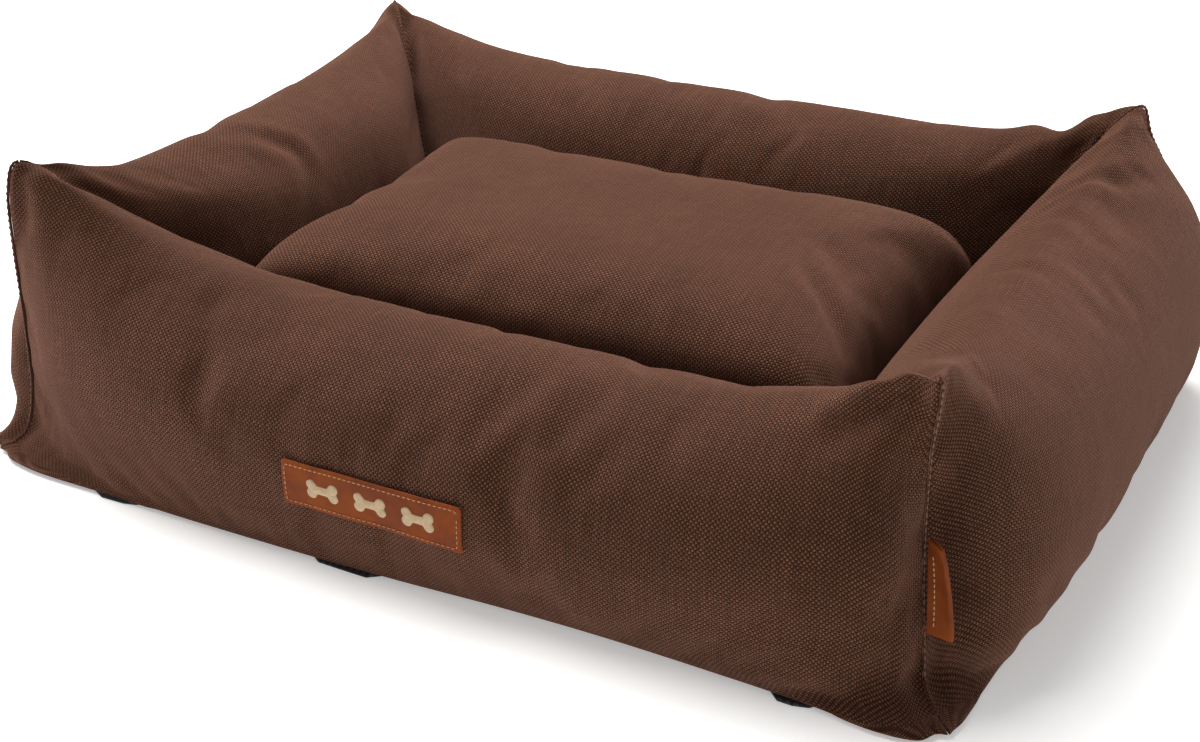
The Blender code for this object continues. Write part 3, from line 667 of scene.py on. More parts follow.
ring, ringSpans = ringOfWalls()
columnTotal = len(ring)
seamColumns = {name: span[0] for name, span in ringSpans.items()}
ringFaces = [tuple(i % (columnTotal * rowCount) for i in f)
             for f in gridFaces(columnTotal + 1, rowCount, closed=True)]
held = np.zeros((columnTotal, rowCount))
held[:, :2] = 1.0
held[:, len(profileRows) - 2:] = 1.0
for column in seamColumns.values():
    held[column, :] = 1.0
swollen = simulateCloth("wallSim", ring.reshape(-1, 3), ringFaces, held.ravel(), clothSettings)
ring = puckered(ring, swollen.reshape(ring.shape), clothSettings)
print("wall cloth settled")
ringNormals = gridNormals(ring)
ring = creased(ring, ringNormals, wallCreases)


def wallBlock(name):
    first, last, us = ringSpans[name]
    return np.take(ring, range(first, last + 1), axis=0, mode="wrap"), us


def makeWall(name):
    data = wallData[name]
    points, us = wallBlock(name)
    local = moved(points, wallFrame(data).inverted())
    # each wall stays on its own side of the mitre planes
    limit = data["span"] / 2 - local[..., 1] - wallShape["seamGap"]
    local[..., 0] = np.clip(local[..., 0], -limit, limit)
    fixed = len(profileRows) - 1
    local[:, fixed:-2, 1] = np.minimum(local[:, fixed:-2, 1], wallShape["foot"])
    inside = np.abs(us) <= data["zipHalf"] / (data["span"] / 2 - wallShape["foot"]) + 1e-6
    skip = lambda c, r: r == slotRow and inside[c] and inside[c + 1]
    faces = gridFaces(len(us), rowCount, closed=True, skip=skip)
    # weave runs with the wall: metres along it, and metres up over it
    alongLength = lengthsAlong(local, 0)
    alongLength -= alongLength[int(np.argmin(abs(us)))]
    arc = lengthsAlong(np.concatenate([local, local[:, :1]], axis=1), 1)
    alongLength = np.concatenate([alongLength, alongLength[:, :1]], axis=1)
    uvs = []
    for face in faces:
        rows = [i % rowCount for i in face]
        wrap = max(rows) - min(rows) > 1
        for i, r in zip(face, rows):
            c = i // rowCount
            r = rowCount if wrap and r == 0 else r
            uvs.append((alongLength[c, r], arc[c, r]))
    world = moved(local, wallFrame(data))
    piece = makeObject(name + "Wall", world.reshape(-1, 3), faces, canvas, uvs)
    thicken(piece, wallShape["canvas"], levels=1)
    finishPiece(piece, "bed", "canvas", name + "_wall_cover")
    return piece


def makeBolster(name):
    # The fibre bolster inside a wall, clear of the cloth and of the zip
    data = wallData[name]
    us, grid = wallGrid(data)
    keep = np.abs(us) <= 0.80
    section = grid[keep][::3]
    centre = section.mean(axis=1, keepdims=True)
    section = centre + (section - centre) * 0.80
    section[..., 0] = np.minimum(section[..., 0], wallShape["foot"] - 0.0075)
    section[..., 1] = np.maximum(section[..., 1], 0.0075)
    points = toWorld(data, us[keep][::3], section)
    points = points[:, ::2]
    columns, rows = points.shape[:2]
    faces = gridFaces(columns, rows, closed=True)
    faces.append(tuple(reversed(range(rows))))
    faces.append(tuple(range((columns - 1) * rows, columns * rows)))
    piece = makeObject(name + "Bolster", points.reshape(-1, 3), faces, fibre)
    finishPiece(piece, "bed", "fibre_fill", name + "_wall_fill")


wallPieces = {name: makeWall(name) for name in wallData}
for name in wallData:
    makeBolster(name)
print("walls made")


# Cushion
cushionShape = {
    "half": (0.1855, 0.1050),
    "flare": (0.0180, 0.0165),       # how much further its corners reach than its sides
    "corner": 0.020,
    "seam": 0.068,
    "crown": 0.1380,
    "overhang": (-0.0070, 0.0040, 0.0220, 0.0090),   # shoulders past the seam: left, right, front, back
    "cornerLift": (0.0020, 0.0180),  # how far the seam rises at the left and right corners
    "lean": 0.0030,                  # its right side stands this much higher than its middle
    "squareness": (7.5, 5.5),        # higher keeps the top flat nearer to its edges
    "edge": 0.40,                    # lower makes the edges stand steeper
    "step": 0.0062,
    "canvas": 0.0010,
    "zipHalf": 0.116,
    "rearFace": 0.084,
    "rearEnds": (0.138, 0.156),      # where its flat face ends and the round corner starts
    "sunkBelow": 0.040,              # the zip's face starts at this height
    "sunkStart": 0.004,
    # height of each ring of the side and how far in it lies, at the zip and elsewhere
    "sideRings": [(0.0560, 0.0075, 0.0010), (0.0400, 0.0, 0.0040), (0.0330, 0.0, 0.0058),
                  (0.0265, 0.0, 0.0078), (0.0175, 0.0, 0.0112), (0.0110, 0.0, 0.0145),
                  (0.0064, 0.0016, 0.0190), (0.0046, 0.0080, 0.0280)],
    "underside": 0.0044,
    "undersideShares": (0.88, 0.74, 0.58, 0.42, 0.26, 0.12),
    "spare": -0.030,
    "cap": 0.007,
}
fillingShape = {
    "share": 0.93,                   # of the cushion's width and depth
    "clear": 0.006,
    "rear": 0.078,
    "rings": [(0.045, 0.98), (0.030, 0.90), (0.016, 0.86), (0.009, 0.80), (0.009, 0.40)],
}
cushionCreases = [
    ([(0.150, -0.036, 0.136), (0.163, -0.050, 0.131), (0.183, -0.070, 0.114)], 0.0034, 0.0062, 0.6),
    ([(0.164, -0.066, 0.130), (0.176, -0.080, 0.116)], 0.0020, 0.0055, 0.5),
    ([(-0.150, 0.060, 0.134), (-0.166, 0.076, 0.122)], 0.0018, 0.0060, 0.4),
]


def squareToRounded(u, v, halfX, halfY, radius):
    x, y = u * halfX, v * halfY
    px = np.maximum(np.abs(x) - (halfX - radius), 0.0) / radius
    py = np.maximum(np.abs(y) - (halfY - radius), 0.0) / radius
    far = np.sqrt(px**2 + py**2)
    scale = np.where(far > 1e-9, np.maximum(px, py) / np.maximum(far, 1e-9), 1.0)
    x = np.where(px > 0, np.sign(x) * (halfX - radius + px * scale * radius), x)
    y = np.where(py > 0, np.sign(y) * (halfY - radius + py * scale * radius), y)
    return x, y


def closerAtEdge(half, step):
    count = int(round(half / step))
    share = np.linspace(0.0, 1.0, count + 1)
    share = 1.0 - (1.0 - share) ** 1.35
    return np.concatenate([-share[:0:-1], share])


def borderLoop(nx, ny):
    # (i, j) around the grid's border, anticlockwise seen from above
    loop = [(i, 0) for i in range(nx - 1)] + [(nx - 1, j) for j in range(ny - 1)]
    return loop + [(i, ny - 1) for i in range(nx - 1, 0, -1)] + [(0, j) for j in range(ny - 1, 0, -1)]


def makeFilling(top):
    # The cushion's fibre filling, clear of the cloth and of the zip
    shape = fillingShape
    fillTop = top[::3, ::3] * (shape["share"], shape["share"], 1.0)
    fillTop[..., 2] -= shape["clear"]
    columns, rows = fillTop.shape[:2]
    loop = borderLoop(columns, rows)
    border = np.array([fillTop[i, j] for i, j in loop])
    layers, index = [fillTop.reshape(-1, 3)], [[i * rows + j for i, j in loop]]
    start = columns * rows
    for height, share in shape["rings"]:
        layer = border * (share, share, 1.0)
        layer[:, 1] = np.minimum(layer[:, 1], shape["rear"])
        layer[:, 2] = height
        layers.append(layer)
        index.append(list(range(start, start + len(loop))))
        start += len(loop)
    faces = gridFaces(columns, rows) + bandFaces(index)
    faces.append(tuple(reversed(index[-1])))
    filling = makeObject("cushionFilling", np.concatenate(layers), faces, fibre)
    finishPiece(filling, "cushion", "fibre_fill", "cushion_fill")


def makeCushion():
    shape = cushionShape
    halfX, halfY = shape["half"]
    us, vs = closerAtEdge(halfX, shape["step"]), closerAtEdge(halfY, shape["step"])
    nx, ny = len(us), len(vs)
    u, v = np.meshgrid(us, vs, indexing="ij")
    x, y = squareToRounded(u, v, halfX, halfY, shape["corner"])
    powerX, powerY = shape["squareness"]
    x = x + shape["flare"][0] * u * np.abs(v) ** 3
    y = y + shape["flare"][1] * v * np.abs(u) ** 4
    crown = ((1 - np.abs(u) ** powerX) * (1 - np.abs(v) ** powerY)).clip(0) ** shape["edge"]
    leftward, rightward, forward, backward = shape["overhang"]
    x = x + np.where(u < 0, -leftward, rightward) * np.sin(np.pi * np.abs(u) ** 8) * (1 - np.abs(v) ** 8)
    y = y + np.where(v < 0, -forward, backward) * np.sin(np.pi * np.abs(v) ** 8) * (1 - np.abs(u) ** 8)
    lift = np.where(u < 0, *shape["cornerLift"]) * np.abs(u * v) ** 6 + shape["lean"] * u * crown
    top = np.stack([x, y, shape["seam"] + lift + (shape["crown"] - shape["seam"]) * crown], -1)
    loop = borderLoop(nx, ny)
    border = np.array([top[i, j] for i, j in loop])
    rear = 1 - smoothStep(*shape["rearEnds"], np.abs(border[:, 0]))
    rear = np.array([j == ny - 1 for i, j in loop]) * rear
    rings = []
    for height, zipInset, inset in shape["sideRings"]:
        sunk = halfY - shape["rearFace"] if height <= shape["sunkBelow"] else shape["sunkStart"]
        ring = border * (1 - inset / halfX, 1 - inset / halfY, 1.0)
        ring[:, 1] += rear * (halfY - sunk - zipInset - ring[:, 1])
        ring[:, 2] = height
        rings.append(ring)
    rings = np.array(rings)
    # columns exactly at the zip's two ends
    rearColumns = np.nonzero(rear > 0.99)[0]
    for side in (-1, 1):
        nearest = rearColumns[np.argmin(abs(rings[3, rearColumns, 0] - side * shape["zipHalf"]))]
        rings[:, nearest, 0] = side * shape["zipHalf"]
    count = len(loop)
    topCount = nx * ny
    points = [top.reshape(-1, 3), rings.reshape(-1, 3)]
    index = [[i * ny + j for i, j in loop]] + [[topCount + k * count + n for n in range(count)]
                                               for k in range(len(rings))]
    start = topCount + len(rings) * count
    last = rings[-1]
    for share in shape["undersideShares"]:
        inner = last * (share, share, 1.0)
        inner[:, 2] = shape["underside"]
        index.append([start + n for n in range(count)])
        points.append(inner)
        start += count
    points.append(np.array([[0.0, 0.0, shape["underside"]]]))
    points = np.concatenate(points)
    topFaces = gridFaces(nx, ny)
    allSides, slot = [], []
    for number, face in enumerate(bandFaces(index)):
        k, n = divmod(number, count)
        reach = max(abs(points[face[0], 0]), abs(points[face[3], 0]))
        flatHere = min(rear[n], rear[(n + 1) % count]) > 0.99
        atZip = k == 4 and reach <= shape["zipHalf"] + 1e-6 and flatHere
        (slot if atZip else allSides).append(face)
    centre = len(points) - 1
    allSides += [(index[-1][n], centre, index[-1][(n + 1) % count]) for n in range(count)]
    held = np.ones(len(points))
    middle = np.zeros((nx, ny))
    middle[[0, -1], :] = 1.0
    middle[:, [0, -1]] = 1.0
    held[:topCount] = middle.ravel()
    settings = dict(clothSettings, spare=shape["spare"], cap=shape["cap"])
    swollen = simulateCloth("cushionSim", points, topFaces + allSides + slot, held, settings)
    top = puckered(top, swollen[:topCount].reshape(top.shape), settings, (False, False))
    print("cushion cloth settled")
    normals = np.zeros_like(top)
    normals[1:-1, 1:-1] = np.cross(top[2:, 1:-1] - top[:-2, 1:-1], top[1:-1, 2:] - top[1:-1, :-2])
    normals /= np.maximum(np.linalg.norm(normals, axis=-1, keepdims=True), 1e-9)
    top = creased(top, normals, cushionCreases)
    points[:topCount] = top.reshape(-1, 3)
    # weave of the top panel: metres of cloth from its middle lines
    alongX, alongY = lengthsAlong(top, 0), lengthsAlong(top, 1)
    alongX -= alongX[nx // 2]
    alongY -= alongY[:, ny // 2][:, None]
    flat = np.stack([alongX, alongY], -1).reshape(-1, 2)
    uvs = [flat[i] for f in topFaces for i in f]
    upper = makeObject("cushionTop", points[:topCount], topFaces, cushionCanvas, uvs)
    thicken(upper, shape["canvas"], levels=1)
    finishPiece(upper, "cushion", "cushion_canvas", "cushion_top_panel")
    used = sorted({i for f in allSides for i in f})
    order = {old: new for new, old in enumerate(used)}
    uvs = []
    for x, y, z in points[[i for f in allSides for i in f]]:
        onFloor = z < shape["underside"] + 0.0001
        uvs.append((x, y) if onFloor else (math.atan2(y, x) * 0.17, z))
    lowerFaces = [tuple(order[i] for i in f) for f in allSides]
    lower = makeObject("cushionUnderside", points[used], lowerFaces, cushionCanvas, uvs)
    thicken(lower, shape["canvas"], levels=1)
    finishPiece(lower, "cushion", "cushion_canvas", "cushion_bottom_panel")
    makeFilling(top)
    return border


def makeTube(name, points, radius, material, closed=False, sides=8, squash=1.0):
    # A round tube of mesh along a line of points
    pts = np.asarray(points, float)
    ahead = np.roll(pts, -1, 0) - np.roll(pts, 1, 0)
    if not closed:
        ahead[0], ahead[-1] = pts[1] - pts[0], pts[-1] - pts[-2]
    ahead /= np.maximum(np.linalg.norm(ahead, axis=1, keepdims=True), 1e-12)
    reference = np.array([0.0, 0.0, 1.0]) if abs(ahead[:, 2]).mean() < 0.7 else np.array([0.7, -0.7, 0.0])
    side = np.cross(ahead, reference)
    side /= np.maximum(np.linalg.norm(side, axis=1, keepdims=True), 1e-12)
    up = np.cross(side, ahead)
    angles = np.linspace(0, 2 * np.pi, sides, endpoint=False)
    radii = np.broadcast_to(radius, (len(pts),))
    rings = pts[:, None] + radii[:, None, None] * (np.cos(angles)[None, :, None] * side[:, None]
                                                    + np.sin(angles)[None, :, None] * up[:, None] * squash)
    faces = gridFaces(len(pts), sides, closed=True)
    if closed:
        base = (len(pts) - 1) * sides
        faces += [(base + r, r, (r + 1) % sides, base + (r + 1) % sides) for r in range(sides)]
    else:
        faces += [tuple(reversed(range(sides))), tuple(range((len(pts) - 1) * sides, len(pts) * sides))]
    return makeObject(name, rings.reshape(-1, 3), faces, material)


def makeStitches(name, starts, ends, ups, radius, material):
    # One small rounded stitch from each start to its end, lying on a surface that faces ups
    points, faces = [], []
    sides, shares = 6, ((0.0, 0.35), (0.12, 0.8), (0.35, 1.0), (0.65, 1.0), (0.88, 0.8), (1.0, 0.35))
    for a, b, up in zip(starts, ends, ups):
        ahead = (b - a) / np.linalg.norm(b - a)
        side = np.cross(ahead, up)
        side /= np.linalg.norm(side)
        base = len(points)
        for share, width in shares:
            lift = radius * (0.9 - 1.1 * abs(2 * share - 1) ** 3)
            centre = a + (b - a) * share + up * lift
            for k in range(sides):
                angle = 2 * math.pi * k / sides
                points.append(centre + (side * math.cos(angle) + up * math.sin(angle)) * radius * width)
        for ring in range(len(shares) - 1):
            for k in range(sides):
                beside = (k + 1) % sides
                here = base + ring * sides
                faces.append((here + k, here + beside, here + sides + beside, here + sides + k))
        faces.append(tuple(base + k for k in reversed(range(sides))))
        faces.append(tuple(base + (len(shares) - 1) * sides + k for k in range(sides)))
    return makeObject(name, points, faces, material)


def evenSteps(points, pitch, fill, start=0.0):
    # Start and end points of dashes along a line, pitch apart, each fill of a pitch long
    pts = np.asarray(points, float)
    length = np.concatenate([[0.0], np.cumsum(np.linalg.norm(np.diff(pts, axis=0), axis=1))])
    count = int((length[-1] - start) / pitch)
    at = lambda s: np.stack([np.interp(s, length, pts[:, k]) for k in range(3)], -1)
    firsts = start + (np.arange(count) + 0.5 * (1 - fill)) * pitch
    return at(firsts), at(firsts + fill * pitch)


cushionBorder = makeCushion()
welt = makeTube("cushionWelt", cushionBorder * (1.002, 1.002, 1.0), 0.0013, seamCanvas, closed=True)
finishPiece(welt, "cushion", "cushion_canvas")
print("cushion made")


# Corner seams
seamShape = {"radius": 0.00085, "stitchPitch": 0.0042, "stitchFill": 0.62, "stitchRadius": 0.00042}


def makeCornerSeam(name, column):
    outward = {"front": (1, -1), "back": (1, 1)}[("front" if "front" in name else "back")]
    diagonal = np.array([outward[0] * (1 if "Right" in name else -1), outward[1], 0.0]) / math.sqrt(2)
    tip = sum(profileSteps[:6])
    outside = ring[column, 1:tip + 1]
    tube = makeTube(name + "Seam", outside + diagonal * 0.0004, seamShape["radius"], seamCanvas, squash=0.8)
    finishPiece(tube, "bed", "canvas")
    inner = ring[column, tip:len(profileRows)]
    tube = makeTube(name + "InnerSeam", inner - diagonal * 0.0002, 0.0007, seamCanvas)
    finishPiece(tube, "bed", "canvas")
    starts, ends = evenSteps(outside[2:], seamShape["stitchPitch"], seamShape["stitchFill"])
    lift = diagonal * (seamShape["radius"] + 0.0001)
    stitches = makeStitches(name + "SeamStitches", starts + lift, ends + lift, [diagonal] * len(starts),
                            seamShape["stitchRadius"], brownThread)
    finishPiece(stitches, "bed", "thread")


makeCornerSeam("frontLeft", seamColumns["front"])
makeCornerSeam("frontRight", seamColumns["right"])
makeCornerSeam("backRight", seamColumns["back"])
makeCornerSeam("backLeft", seamColumns["left"])
print("corner seams made")


# Leather label
labelShape = {
    "thickness": 0.0014,
    "cells": (76, 20),
    "corner": 0.0022,
    "stand": 0.0004,                 # clear of the cloth behind it
    "stitchInset": 0.0023,
    "stitchPitch": 0.0031,
    "stitchFill": 0.66,
    "stitchRadius": 0.00036,
    "groove": 0.00022,
    "boneCell": 0.0005,
    "boneRise": 0.00085,
    "boneBacking": 0.00015,
    "bevel": 0.0003,
}


def surfaceBehind(piece):
    mesh = piece.data
    return BVHTree.FromPolygons([v.co for v in mesh.vertices], [p.vertices[:] for p in mesh.polygons])


def makeLabel():
    shape = labelShape
    low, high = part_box("front_label")
    middle = (low + high) / 2
    halfX, halfZ = (high.x - low.x) / 2, (high.z - low.z) / 2
    tree = surfaceBehind(wallPieces["front"])
    us, vs = (np.linspace(-1, 1, n + 1) for n in shape["cells"])
    u, v = np.meshgrid(us, vs, indexing="ij")
    x, z = squareToRounded(u, v, halfX, halfZ, shape["corner"])
    depth = np.zeros_like(x)
    for i in range(x.shape[0]):
        for j in range(x.shape[1]):
            hit = tree.ray_cast(Vector((middle.x + x[i, j], -0.5, middle.z + z[i, j])), Vector((0, 1, 0)))
            depth[i, j] = hit[0].y
    smooth = blurGrid(depth, 60, (False, False))
    smooth -= np.max(smooth - depth) + shape["stand"]
    back = np.stack([middle.x + x, smooth, middle.z + z], -1)
    normal = np.cross(np.gradient(back, axis=0), np.gradient(back, axis=1))
    normal /= np.linalg.norm(normal, axis=-1, keepdims=True)
    edge = np.minimum(halfX * (1 - np.abs(u)), halfZ * (1 - np.abs(v)))
    # pressed in along the line of stitches, and turned over a little at its cut edge
    press = shape["groove"] * np.exp(-((edge - shape["stitchInset"]) / 0.0007) ** 2)
    turned = 0.00035 * np.exp(-(edge / 0.0007) ** 2)
    front = back + normal * (shape["thickness"] - press - turned)[..., None]
    nx, ny = x.shape
    loop = borderLoop(nx, ny)
    points = np.concatenate([front.reshape(-1, 3), back.reshape(-1, 3)])
    faces = gridFaces(nx, ny)
    faces += [tuple(i + nx * ny for i in reversed(f)) for f in gridFaces(nx, ny)]
    for (i, j), (k, l) in zip(loop, loop[1:] + loop[:1]):
        a, b = i * ny + j, k * ny + l
        faces.append((a, a + nx * ny, b + nx * ny, b))
    label = makeObject("leatherLabel", points, faces, leather)
    thicken(label, 0.0, bevel=shape["bevel"])
    finishPiece(label, "bed", "tan_leather", "front_label")

    def onLabel(px, pz):
        # Point and outward direction on the leather, from its middle
        fu = np.clip((px / halfX + 1) / 2, 0, 1) * (nx - 1)
        fv = np.clip((pz / halfZ + 1) / 2, 0, 1) * (ny - 1)
        i, j = int(min(fu, nx - 2)), int(min(fv, ny - 2))
        a, b = fu - i, fv - j
        mix = lambda g: ((1 - a) * (1 - b) * g[i, j] + a * (1 - b) * g[i + 1, j]
                         + (1 - a) * b * g[i, j + 1] + a * b * g[i + 1, j + 1])
        point, facing = mix(front), mix(normal)
        point[0], point[2] = middle.x + px, middle.z + pz
        return point, facing / np.linalg.norm(facing)

    # sewn round, a little in from the edge
    inX, inZ, bend = halfX - shape["stitchInset"], halfZ - shape["stitchInset"], 0.0016
    outline = []
    for cx, cz, first in ((inX, inZ, 0), (-inX, inZ, 90), (-inX, -inZ, 180), (inX, -inZ, 270)):
        for step in range(7):
            angle = math.radians(first + 90 * step / 6)
            outline.append((cx - math.copysign(bend, cx) + bend * math.cos(angle), 0.0,
                            cz - math.copysign(bend, cz) + bend * math.sin(angle)))
    outline.append(outline[0])
    starts, ends = evenSteps(outline, shape["stitchPitch"], shape["stitchFill"])
    sewn = [(onLabel(a[0], a[2]), onLabel(b[0], b[2])) for a, b in zip(starts, ends)]
    stitches = makeStitches("labelStitches", [s[0][0] for s in sewn], [s[1][0] for s in sewn],
                            [s[0][1] for s in sewn], shape["stitchRadius"], tanThread)
    finishPiece(stitches, "bed", "thread", "label_stitching")
    for number in (1, 2, 3):
        makeBone(number, middle, onLabel)


def makeBone(number, middle, onLabel):
    # Satin-stitched bone: a low cushion of thread inside a bone's outline
    low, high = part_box(f"label_bone_{number}")
    centreX, centreZ = (low.x + high.x) / 2 - middle.x, (low.z + high.z) / 2 - middle.z
    halfX, halfZ = (high.x - low.x) / 2, (high.z - low.z) / 2
    knob = 0.54 * halfZ
    shaft = 0.42 * halfZ

    def outside(px, pz):
        knobs = np.hypot(np.abs(px) - (halfX - knob), np.abs(pz) - (halfZ - knob)) - knob
        bar = np.maximum(np.abs(px) - (halfX - knob), np.abs(pz) - shaft)
        soft = 0.0006
        return -soft * np.log(np.exp(-knobs / soft) + np.exp(-bar / soft))

    cell = labelShape["boneCell"]
    xs = np.arange(-halfX - cell, halfX + cell * 1.5, cell)
    zs = np.arange(-halfZ - cell, halfZ + cell * 1.5, cell)
    px, pz = np.meshgrid(xs, zs, indexing="ij")
    for _ in range(3):
        d = outside(px, pz)
        e = 1e-5
        gx = (outside(px + e, pz) - outside(px - e, pz)) / (2 * e)
        gz = (outside(px, pz + e) - outside(px, pz - e)) / (2 * e)
        size = np.maximum(gx**2 + gz**2, 1e-3)
        near = np.abs(d) < 0.62 * cell
        px = np.where(near, px - d * gx / size, px)
        pz = np.where(near, pz - d * gz / size, pz)
    depth = -outside(px, pz)
    inside = depth > -0.2 * cell
    columns, rows = px.shape
    keep = []
    for f in gridFaces(columns, rows):
        if all(inside.ravel()[i] for i in f):
            keep.append(f)
    rise = labelShape["boneRise"] * (1 - np.exp(-np.maximum(depth, 0.0) / 0.0008))
    ridges = 0.00008 * np.sin((px + 0.35 * pz) * 2 * math.pi / 0.0009)
    used = sorted({i for f in keep for i in f})
    order = {old: new for new, old in enumerate(used)}
    points = []
    for i in used:
        c, r = divmod(i, rows)
        spot, facing = onLabel(centreX + px[c, r], centreZ + pz[c, r])
        lift = rise[c, r] + (ridges[c, r] if depth[c, r] > 0.0004 else 0.0)
        points.append(spot + facing * (lift + 0.00002))
    faces = [tuple(order[i] for i in f) for f in keep]
    bone = makeObject(f"embroideredBone{number}", points, faces, creamThread)
    thicken(bone, labelShape["boneBacking"])
    finishPiece(bone, "bed", "thread", f"label_bone_{number}")


makeLabel()
print("label made")


# Folded leather tag, sewn into the front right seam
tagShape = {
    "reach": 0.0140,
    "tall": 0.0500,
    "leather": 0.0011,
    "gap": 0.0006,
    "turnLow": -14.0,                 # degrees from +X at its lower edge
    "turnHigh": -48.0,
    "cells": (14, 22),
    "stitchPitch": 0.0030,
    "stitchFill": 0.66,
    "stitchRadius": 0.00034,
    "bevel": 0.0002,
}


def makeTag():
    shape = tagShape
    joint = next(j for j in frame["joints"] if j["name"] == "tag_swing")
    root, up = np.array(joint["pos_m"]), np.array(joint["axis"])
    reach, half = shape["reach"], (shape["gap"] + shape["leather"]) / 2
    across, tall = shape["cells"]
    # out along one leaf, round the fold, and back along the other
    path = [(s, half) for s in np.linspace(0.0, reach - half, across)]
    for a in np.linspace(0, math.pi, 7)[1:-1]:
        path.append((reach - half + half * math.sin(a), half * math.cos(a)))
    path += [(s, -half) for s in np.linspace(reach - half, 0.0, across)]
    path = np.array(path)
    points = []
    for share in np.linspace(0.0, 1.0, tall + 1):
        turn = math.radians(shape["turnLow"] + (shape["turnHigh"] - shape["turnLow"]) * share ** 1.2)
        ahead = np.array([math.cos(turn), math.sin(turn), 0.0])
        ahead -= up * (ahead @ up)
        ahead /= np.linalg.norm(ahead)
        side = np.cross(up, ahead)
        # cut corners: a little shorter at the top
        trim = 1.0 - 0.10 * smoothStep(0.86, 1.0, share) - 0.03 * (1 - smoothStep(0.0, 0.08, share))
        for s, t in path:
            bow = 0.0012 * math.sin(math.pi * s / reach) * math.sin(math.pi * share)
            points.append(root + up * (share * shape["tall"]) + ahead * s * trim + side * (t + bow))
    faces = gridFaces(tall + 1, len(path))
    tag = makeObject("cornerTag", points, faces, leather)
    thicken(tag, shape["leather"], offset=0.0, bevel=shape["bevel"])
    finishPiece(tag, "tag", "tan_leather", "corner_tag")
    # stitched line down both faces, half way out
    grid = np.array(points).reshape(tall + 1, len(path), 3)
    starts, ends, ups = [], [], []
    for column in (across // 3, len(path) - 1 - across // 3):
        line = grid[2:-2, column]
        beside = grid[2:-2, column + 1] - grid[2:-2, column - 1]
        a, b = evenSteps(line, shape["stitchPitch"], shape["stitchFill"])
        facing = np.cross(line[-1] - line[0], beside[len(beside) // 2])
        facing /= np.linalg.norm(facing)
        if facing @ (grid[tall // 2, column] - grid[tall // 2, len(path) - 1 - column]) < 0:
            facing = -facing
        lift = facing * (shape["leather"] / 2)
        starts += list(a + lift)
        ends += list(b + lift)
        ups += [facing] * len(a)
    stitches = makeStitches("tagStitches", starts, ends, ups, shape["stitchRadius"], creamThread)
    finishPiece(stitches, "tag", "thread", "corner_tag_stitching")


makeTag()
print("tag made")


# Base and floor of the nest
sheetShape = {
    "base": {"size": (0.592, 0.432), "corner": 0.014, "middle": 0.0010,
             "thickness": 0.0016, "cells": (74, 54)},
    "floor": {"size": (0.588, 0.428), "corner": 0.012, "middle": 0.0029,
              "thickness": 0.0010, "cells": (60, 44)},
    # where the base cloth shows under the front wall: from, to, how far out
    "showing": [(-0.216, -0.182, 0.0152), (-0.063, -0.018, 0.0150), (0.212, 0.234, 0.0140)],
}


def makeSheetPiece(name, shape, material, slotName, node, wander=0.0):
    halfX, halfY = shape["size"][0] / 2, shape["size"][1] / 2
    us, vs = (np.linspace(-1, 1, n + 1) for n in shape["cells"])
    u, v = np.meshgrid(us, vs, indexing="ij")
    x, y = squareToRounded(u, v, halfX, halfY, shape["corner"])
    edge = np.maximum(np.abs(u), np.abs(v)) ** 12
    x += wander * edge * np.sign(u) * np.sin(y * 37.0 + 1.0) * (np.abs(u) > np.abs(v))
    y += wander * edge * np.sign(v) * np.sin(x * 31.0 + 2.0) * (np.abs(v) >= np.abs(u))
    if wander:
        for first, last, out in sheetShape["showing"]:
            bulge = smoothStep(first - 0.012, first + 0.006, x)
            bulge = bulge * (1 - smoothStep(last - 0.006, last + 0.012, x))
            y -= bulge * out * smoothStep(-0.80, -1.0, v)
    points = np.stack([x, y, np.full_like(x, shape["middle"])], -1).reshape(-1, 3)
    faces = gridFaces(*x.shape)
    uvs = [points[i, :2] for f in faces for i in f]
    piece = makeObject(name, points, faces, material, uvs)
    thicken(piece, shape["thickness"], offset=0.0)
    return finishPiece(piece, "bed", slotName, node)


baseSheet = makeSheetPiece("baseSheet", sheetShape["base"], nonSlip, "non_slip", "base_panel", wander=0.0012)
floorSheet = makeSheetPiece("floorSheet", sheetShape["floor"], canvas, "canvas", "floor_panel")
print("base made")


# Zips: the model's own tapes, sliders and pulls, with finishes and teeth
zipPlaces = {
    "front": ((0.0, -0.120), 0.0, 0.170, "bed"),
    "back": ((0.0, 0.120), math.pi, 0.170, "bed"),
    "left": ((-0.200, 0.0), -math.pi / 2, 0.090, "bed"),
    "right": ((0.200, 0.0), math.pi / 2, 0.090, "bed"),
    "cushion": ((0.0, 0.084), 0.0, 0.116, "cushion"),
}
teethShape = {
    "pitch": 0.0014,
    "depth": 0.00205,
    "rise": 0.0011,
    "back": 0.00035,
    "wire": 0.00024,
    "height": 0.0220,
}


def makeTeeth(name, place, turn, half, body):
    shape = teethShape
    steps = int(2 * half / shape["pitch"] * 8)
    s = np.arange(steps)
    angle = s * 2 * math.pi / 8
    along = -half + 0.002 + s * (2 * half - 0.004) / steps
    out = -shape["depth"] - shape["back"] * np.cos(angle)
    local = np.stack([along, out, shape["height"] + shape["rise"] * np.sin(angle)], -1)
    teeth = makeTube(name + "ZipTeeth", moved(local, placed(place, turn)), shape["wire"], zipTape, sides=4)
    finishPiece(teeth, body, "zip_tape")


for name, (place, turn, half, body) in zipPlaces.items():
    makeTeeth(name, place, turn, half, body)
for name, node in frame["nodes"].items():
    if "zip_tape" in name:
        node.data.materials.clear()
        node.data.materials.append(zipTape)
    elif "zip_slider" in name or "zip_pull" in name:
        node.data.materials.clear()
        node.data.materials.append(zipMetal)
print("zips finished")


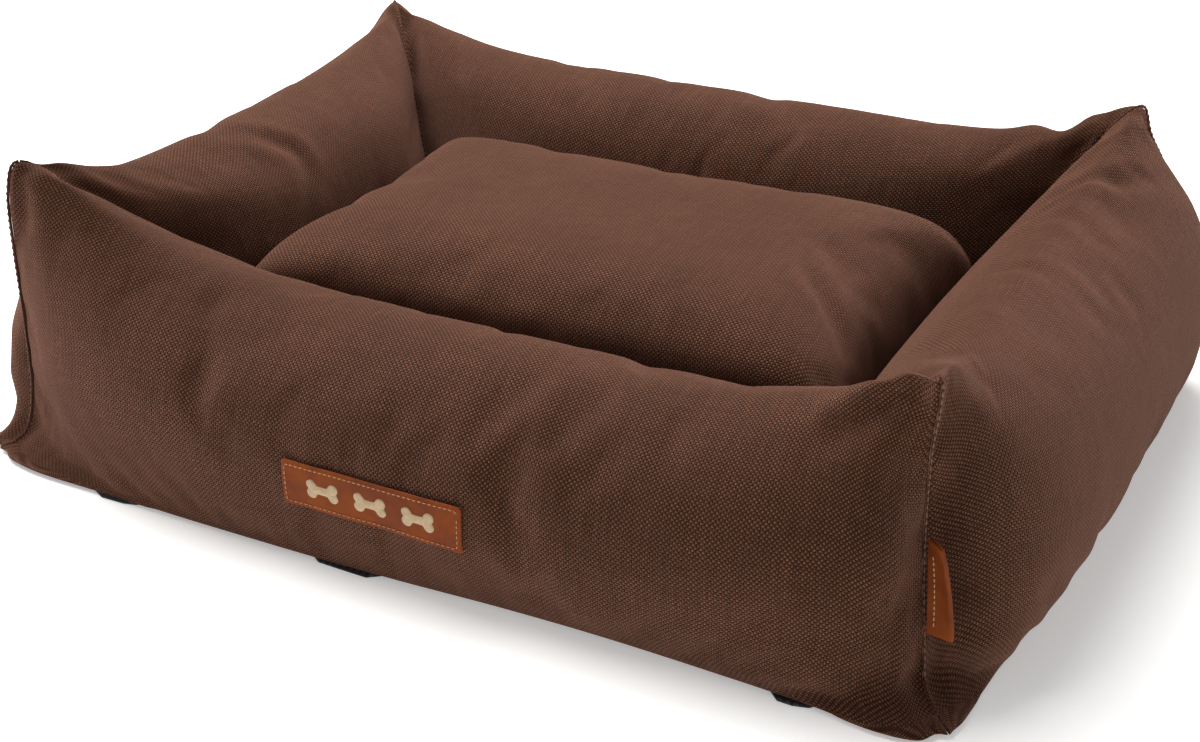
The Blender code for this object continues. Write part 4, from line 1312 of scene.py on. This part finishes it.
# Floor, light and camera
studio = {
    "floorSize": 60.0,
    "sky": 0.235,
    "top": {"place": (-0.95, 0.55, 1.85), "size": 2.4, "power": 110.0},
    "side": {"place": (1.9, -1.5, 0.6), "size": 1.4, "power": 7.6},
}
view = {
    "aim": (0.0348, -0.0715, 0.0667),
    "turn": 27.826,
    "tilt": 27.159,
    "roll": -0.1847,
    "distance": 1.1071,
    "lens": 57.405,
    "sensor": 36.0,
}


def makeStudio():
    half = studio["floorSize"] / 2
    corners = [(-half, -half, 0.0), (half, -half, 0.0), (half, half, 0.0), (-half, half, 0.0)]
    floor = makeObject("studioFloor", np.array(corners) - (0, 0, 0.0003), [(0, 1, 2, 3)], paleFloor)
    world = bpy.data.worlds.new("studioWorld")
    world.use_nodes = True
    world.node_tree.nodes["Background"].inputs["Color"].default_value = (1.0, 0.995, 0.985, 1.0)
    world.node_tree.nodes["Background"].inputs["Strength"].default_value = studio["sky"]
    bpy.context.scene.world = world
    for name in ("top", "side"):
        setting = studio[name]
        lamp = bpy.data.lights.new(name + "Light", "AREA")
        lamp.shape = "SQUARE"
        lamp.size = setting["size"]
        lamp.energy = setting["power"]
        lamp.color = (1.0, 0.985, 0.965)
        holder = bpy.data.objects.new(name + "Light", lamp)
        holder.location = setting["place"]
        holder.rotation_mode = "QUATERNION"
        holder.rotation_quaternion = (-Vector(setting["place"])).to_track_quat("-Z", "Y")
        bpy.context.scene.collection.objects.link(holder)
    bpy.context.scene.view_settings.view_transform = "Standard"


def makeCamera():
    data = bpy.data.cameras.new("camera")
    data.lens = view["lens"]
    data.sensor_width = view["sensor"]
    data.clip_end = 50.0
    camera = bpy.data.objects.new("camera", data)
    turn, tilt = math.radians(view["turn"]), math.radians(view["tilt"])
    back = Vector((math.sin(turn) * math.cos(tilt), -math.cos(turn) * math.cos(tilt), math.sin(tilt)))
    camera.location = Vector(view["aim"]) + back * view["distance"]
    camera.rotation_mode = "QUATERNION"
    level = (-back).to_track_quat("-Z", "Y")
    camera.rotation_quaternion = level @ Quaternion((0.0, 0.0, 1.0), math.radians(view["roll"]))
    bpy.context.scene.collection.objects.link(camera)
    bpy.context.scene.camera = camera


makeStudio()
makeCamera()
bpy.context.view_layer.update()
print("scene ready")
